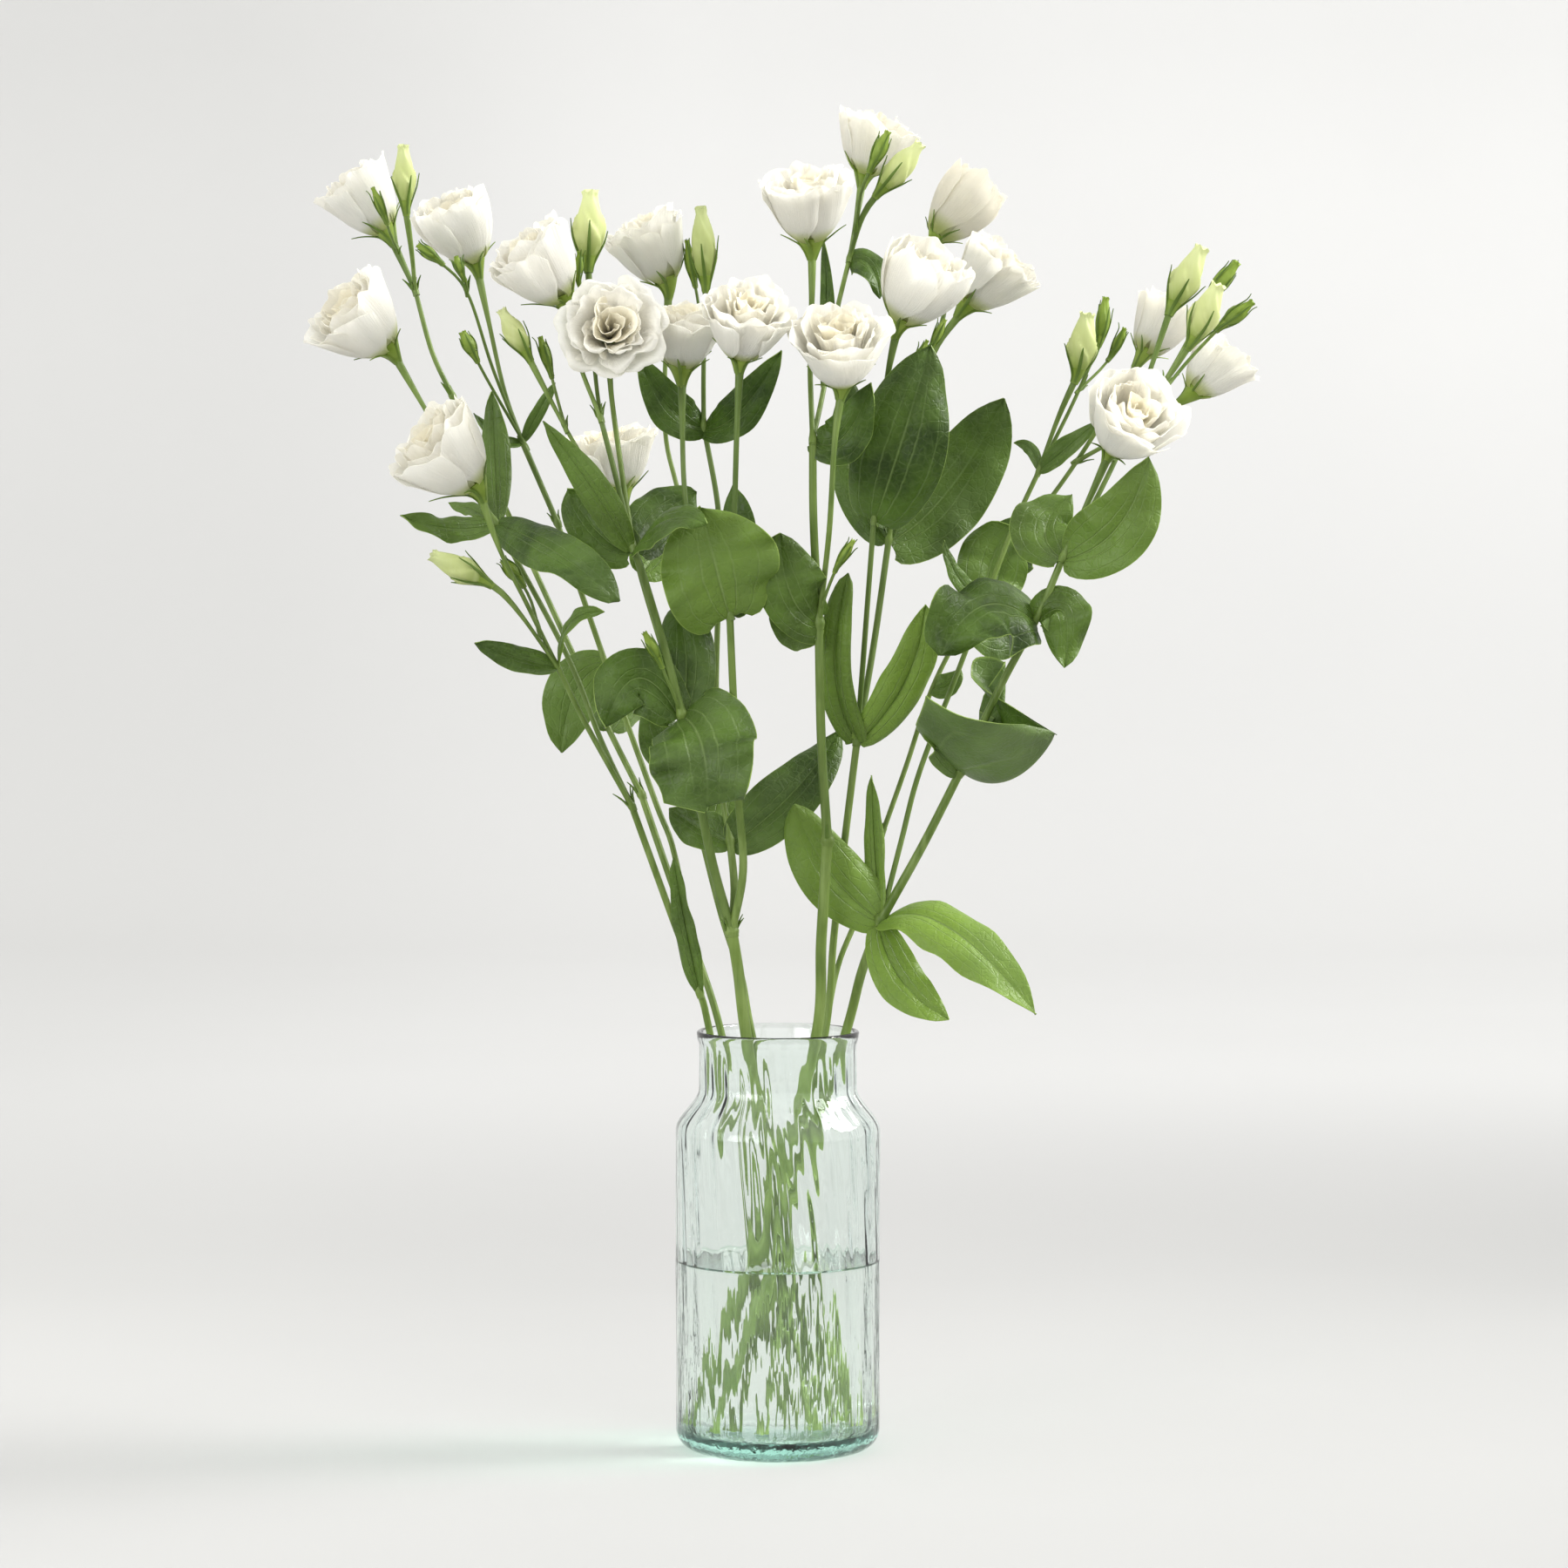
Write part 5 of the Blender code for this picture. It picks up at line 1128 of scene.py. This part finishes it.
def bracts(point, along, radius, length, draw):
    """A pair of small pointed scale leaves at a fork."""
    along = unit(along)
    side, other = sides_of(along)
    angle = draw.uniform(0, 2 * math.pi)
    made = []
    for turn in (0, math.pi):
        out = side * math.cos(angle + turn) + other * math.sin(angle + turn)
        long = length * draw.uniform(0.75, 1.2)
        bow = draw.uniform(0.15, 0.5)
        places = [point + out * radius * 0.6 - along * 1.5, point + out * (radius + 0.8) + along * 1.5,
                  point + out * (radius + bow * long * 0.5) + along * long * 0.55,
                  point + out * (radius + bow * long) + along * long * 0.95]
        made.append(sepal(places, out, 2.4, 0.85))
    return made


# The length of a bract in mm, and how far from the nearest leaf a fork has bracts.
BRACT_LENGTH = 8.5
CLEAR_OF_LEAVES = 9


def make_stem(name, looks, draw):
    """One whole stem in three pieces: stalks, leaves, and the cups, bracts and green buds."""
    foot, places, first, last = TRUNKS[name]
    low, high = np.array([*foot, FLOOR + 1.0]), seen(*places[0])
    opened = {row[1]: way[0] for row, way in zip(BLOOMS, BLOOM_WAYS)}
    buds = {row[1] for row in BUDS}
    leafy = [seen(*row[0]) for row in LEAVES[name]]
    way = [low + (high - low) * t for t in (0.0, 0.33, 0.67)] + [seen(*p) for p in places]
    stalks, cups, arrive = [stalk(way, first, last, last, 0.0)[0]], [], {}
    for places, first, last in BRANCHES[name]:
        held = BLOOM_STALK if places[-1] in opened else BUD_STALK if places[-1] in buds else last
        made, arrive[places[-1]] = stalk([seen(*p) for p in places], first, last, held, draw.random())
        fork, along = seen(*places[0]), seen(*places[1]) - seen(*places[0])
        stalks += [made, knot(fork, along, first * 1.15, 0.3)]
        if min(np.linalg.norm(fork - spot) for spot in leafy) > CLEAR_OF_LEAVES:
            cups += bracts(fork, along, first, BRACT_LENGTH, draw)
    leaves = []
    for base, middle, tip, width, face, fold in LEAVES[name]:
        spare = (draw.uniform(0.3, 0.9), draw.uniform(0.8, 1.5), draw.uniform(-25, 25), draw.uniform(0, 0.5))
        way = LEAF_WAYS.get(tip[:2], (*spare, 0.1, 1.0))
        leaves.append(leaf(seen(*base), seen(*middle), seen(*tip), width, unit(face), fold, way, draw))
    for stem, base, heart, width, height in BLOOMS:
        if stem == name:
            cups += calyx(seen(*base), seen(*heart), width, height, arrive[base], opened[base], draw)
    for stem, base, tip, width in BUDS:
        if stem == name:
            cups += bud_cup(seen(*base), seen(*tip), width, *BUD_SEPALS, arrive[base], draw)
    for stem, base, tip, width in GREEN_BUDS:
        if stem == name:
            cups += bud_cup(seen(*base), seen(*tip), width, *GREEN_BUD_SEPALS, arrive[base], draw)
            cups.append(furled(seen(*base), seen(*tip), width * 0.9, 0.2, 0.1, draw))
    piece(name + "_stalks", stalks, looks["stalk"], [name])
    if leaves:
        piece(name + "_leaves", leaves, looks["leaf"], [name])
    if cups:
        piece(name + "_cups", cups, looks["sepal"], [name])


# The stage in m: its front edge, the place of its wall, the radius of the bend between floor and wall, the
# height of the wall, half its width, and how far its floor lies under the vase.
STAGE_FRONT = -7.0
STAGE_WALL = 4.4
STAGE_BEND = 1.2
STAGE_TOP = 6.0
STAGE_HALF = 7.0
STAGE_DROP = 0.0002


def make_stage(look):
    """A pale floor that curves up into a backdrop."""
    start = STAGE_WALL - STAGE_BEND
    line = [(STAGE_FRONT, 0.0), (0.0, 0.0), (start, 0.0)]
    for a in np.linspace(0, math.pi / 2, 16)[1:]:
        line.append((start + STAGE_BEND * math.sin(a), STAGE_BEND * (1 - math.cos(a))))
    line.append((STAGE_WALL, STAGE_TOP))
    points = [(x, y, z - STAGE_DROP) for y, z in line for x in (-STAGE_HALF, STAGE_HALF)]
    faces = [(2 * k, 2 * k + 1, 2 * k + 3, 2 * k + 2) for k in range(len(line) - 1)]
    mesh = bpy.data.meshes.new("stage")
    mesh.from_pydata(points, [], faces)
    mesh.polygons.foreach_set("use_smooth", [True] * len(faces))
    mesh.materials.append(look)
    stage = bpy.data.objects.new("stage", mesh)
    bpy.context.scene.collection.objects.link(stage)


def area_light(name, place, target, size, power, colour, spread):
    data = bpy.data.lights.new(name, "AREA")
    data.shape = "SQUARE"
    data.size = size
    data.energy = power
    data.color = colour
    data.spread = math.radians(spread)
    light = bpy.data.objects.new(name, data)
    light.location = place
    direction = np.array(target) - np.array(place)
    aim(light, direction)
    bpy.context.scene.collection.objects.link(light)


def aim(thing, direction):
    """Turns a light or camera to look along a direction, upright."""
    x, y, z = direction
    thing.rotation_euler = (math.atan2(math.hypot(x, y), -z), 0.0, math.atan2(-x, y))


# Where the room is brightest, and how bright it is on the far side from there and on that side.
BRIGHT_SIDE = (0.45, 0.30, 0.84)
WORLD_LOW = 0.74
WORLD_HIGH = 1.58
WORLD_COLOUR = (1.0, 0.995, 0.985, 1.0)

# Square lamps: place and target in m, side in m, power in W, colour, and how wide it shines in degrees.
LAMPS = {
    "key": ((2.2, 0.2, 1.9), (0, 0, 0.4), 1.2, 10.5, (1.0, 0.99, 0.97), 50),
    "fill": ((-2.6, -3.0, 1.2), (0, 0, 0.4), 2.0, 6, (0.99, 1.0, 1.0), 50),
    "backdrop": ((2.2, 1.0, 1.0), (1.2, 2.6, 0.8), 1.5, 4, (1.0, 1.0, 1.0), 120),
}

# The camera's lens and the width of its picture, in mm.
LENS = 110.0
SENSOR = 36.0


def make_light():
    world = bpy.data.worlds.new("world")
    world.use_nodes = True
    background = world.node_tree.nodes["Background"]
    background.inputs["Color"].default_value = WORLD_COLOUR
    nodes, links = world.node_tree.nodes, world.node_tree.links
    place = nodes.new("ShaderNodeTexCoord")
    facing = nodes.new("ShaderNodeVectorMath")
    facing.operation = "DOT_PRODUCT"
    facing.inputs[1].default_value = BRIGHT_SIDE
    spread = nodes.new("ShaderNodeMapRange")
    spread.inputs["From Min"].default_value = -1.0
    spread.inputs["To Min"].default_value = WORLD_LOW
    spread.inputs["To Max"].default_value = WORLD_HIGH
    links.new(place.outputs["Generated"], facing.inputs[0])
    links.new(facing.outputs["Value"], spread.inputs["Value"])
    links.new(spread.outputs["Result"], background.inputs["Strength"])
    bpy.context.scene.world = world
    for name, lamp in LAMPS.items():
        area_light(name, *lamp)
    bpy.context.scene.view_settings.view_transform = "Standard"


def make_camera():
    """The photograph's view: level with the blooms, from 2.5 m."""
    data = bpy.data.cameras.new("camera")
    data.lens = LENS
    data.sensor_width = SENSOR
    camera = bpy.data.objects.new("camera", data)
    across = (VIEW_WIDTH / 2 - VIEW_AXIS) * UNIT * MM
    middle = (VIEW_BASE - VIEW_WIDTH / 2) * UNIT * MM
    camera.location = (across, -EYE_DISTANCE * MM, EYE_HEIGHT * MM)
    aim(camera, (0.0, EYE_DISTANCE * MM, middle - EYE_HEIGHT * MM))
    bpy.context.scene.collection.objects.link(camera)
    bpy.context.scene.camera = camera


def main():
    looks = {"leaf": leaf_look(), "stalk": stalk_look(), "sepal": sepal_look()}
    petals, bud = petal_look(), bud_look()
    make_vase(glass_look())
    make_water(water_look())
    draw = random.Random(SEED)
    for name in TRUNKS:
        make_stem(name, looks, draw)
    for number, (_, base, heart, width, height) in enumerate(BLOOMS, 1):
        make_bloom(number, seen(*base), seen(*heart), width, height, petals, draw)
    for number, (_, base, tip, width) in enumerate(BUDS, 1):
        name = f"bud_{number:02d}"
        body = furled(seen(*base), seen(*tip), width, 0.6, BUD_TONES[number - 1], draw)
        piece(name + "_petals", [body], bud, [name])
    make_stage(stage_look())
    make_light()
    make_camera()


main()
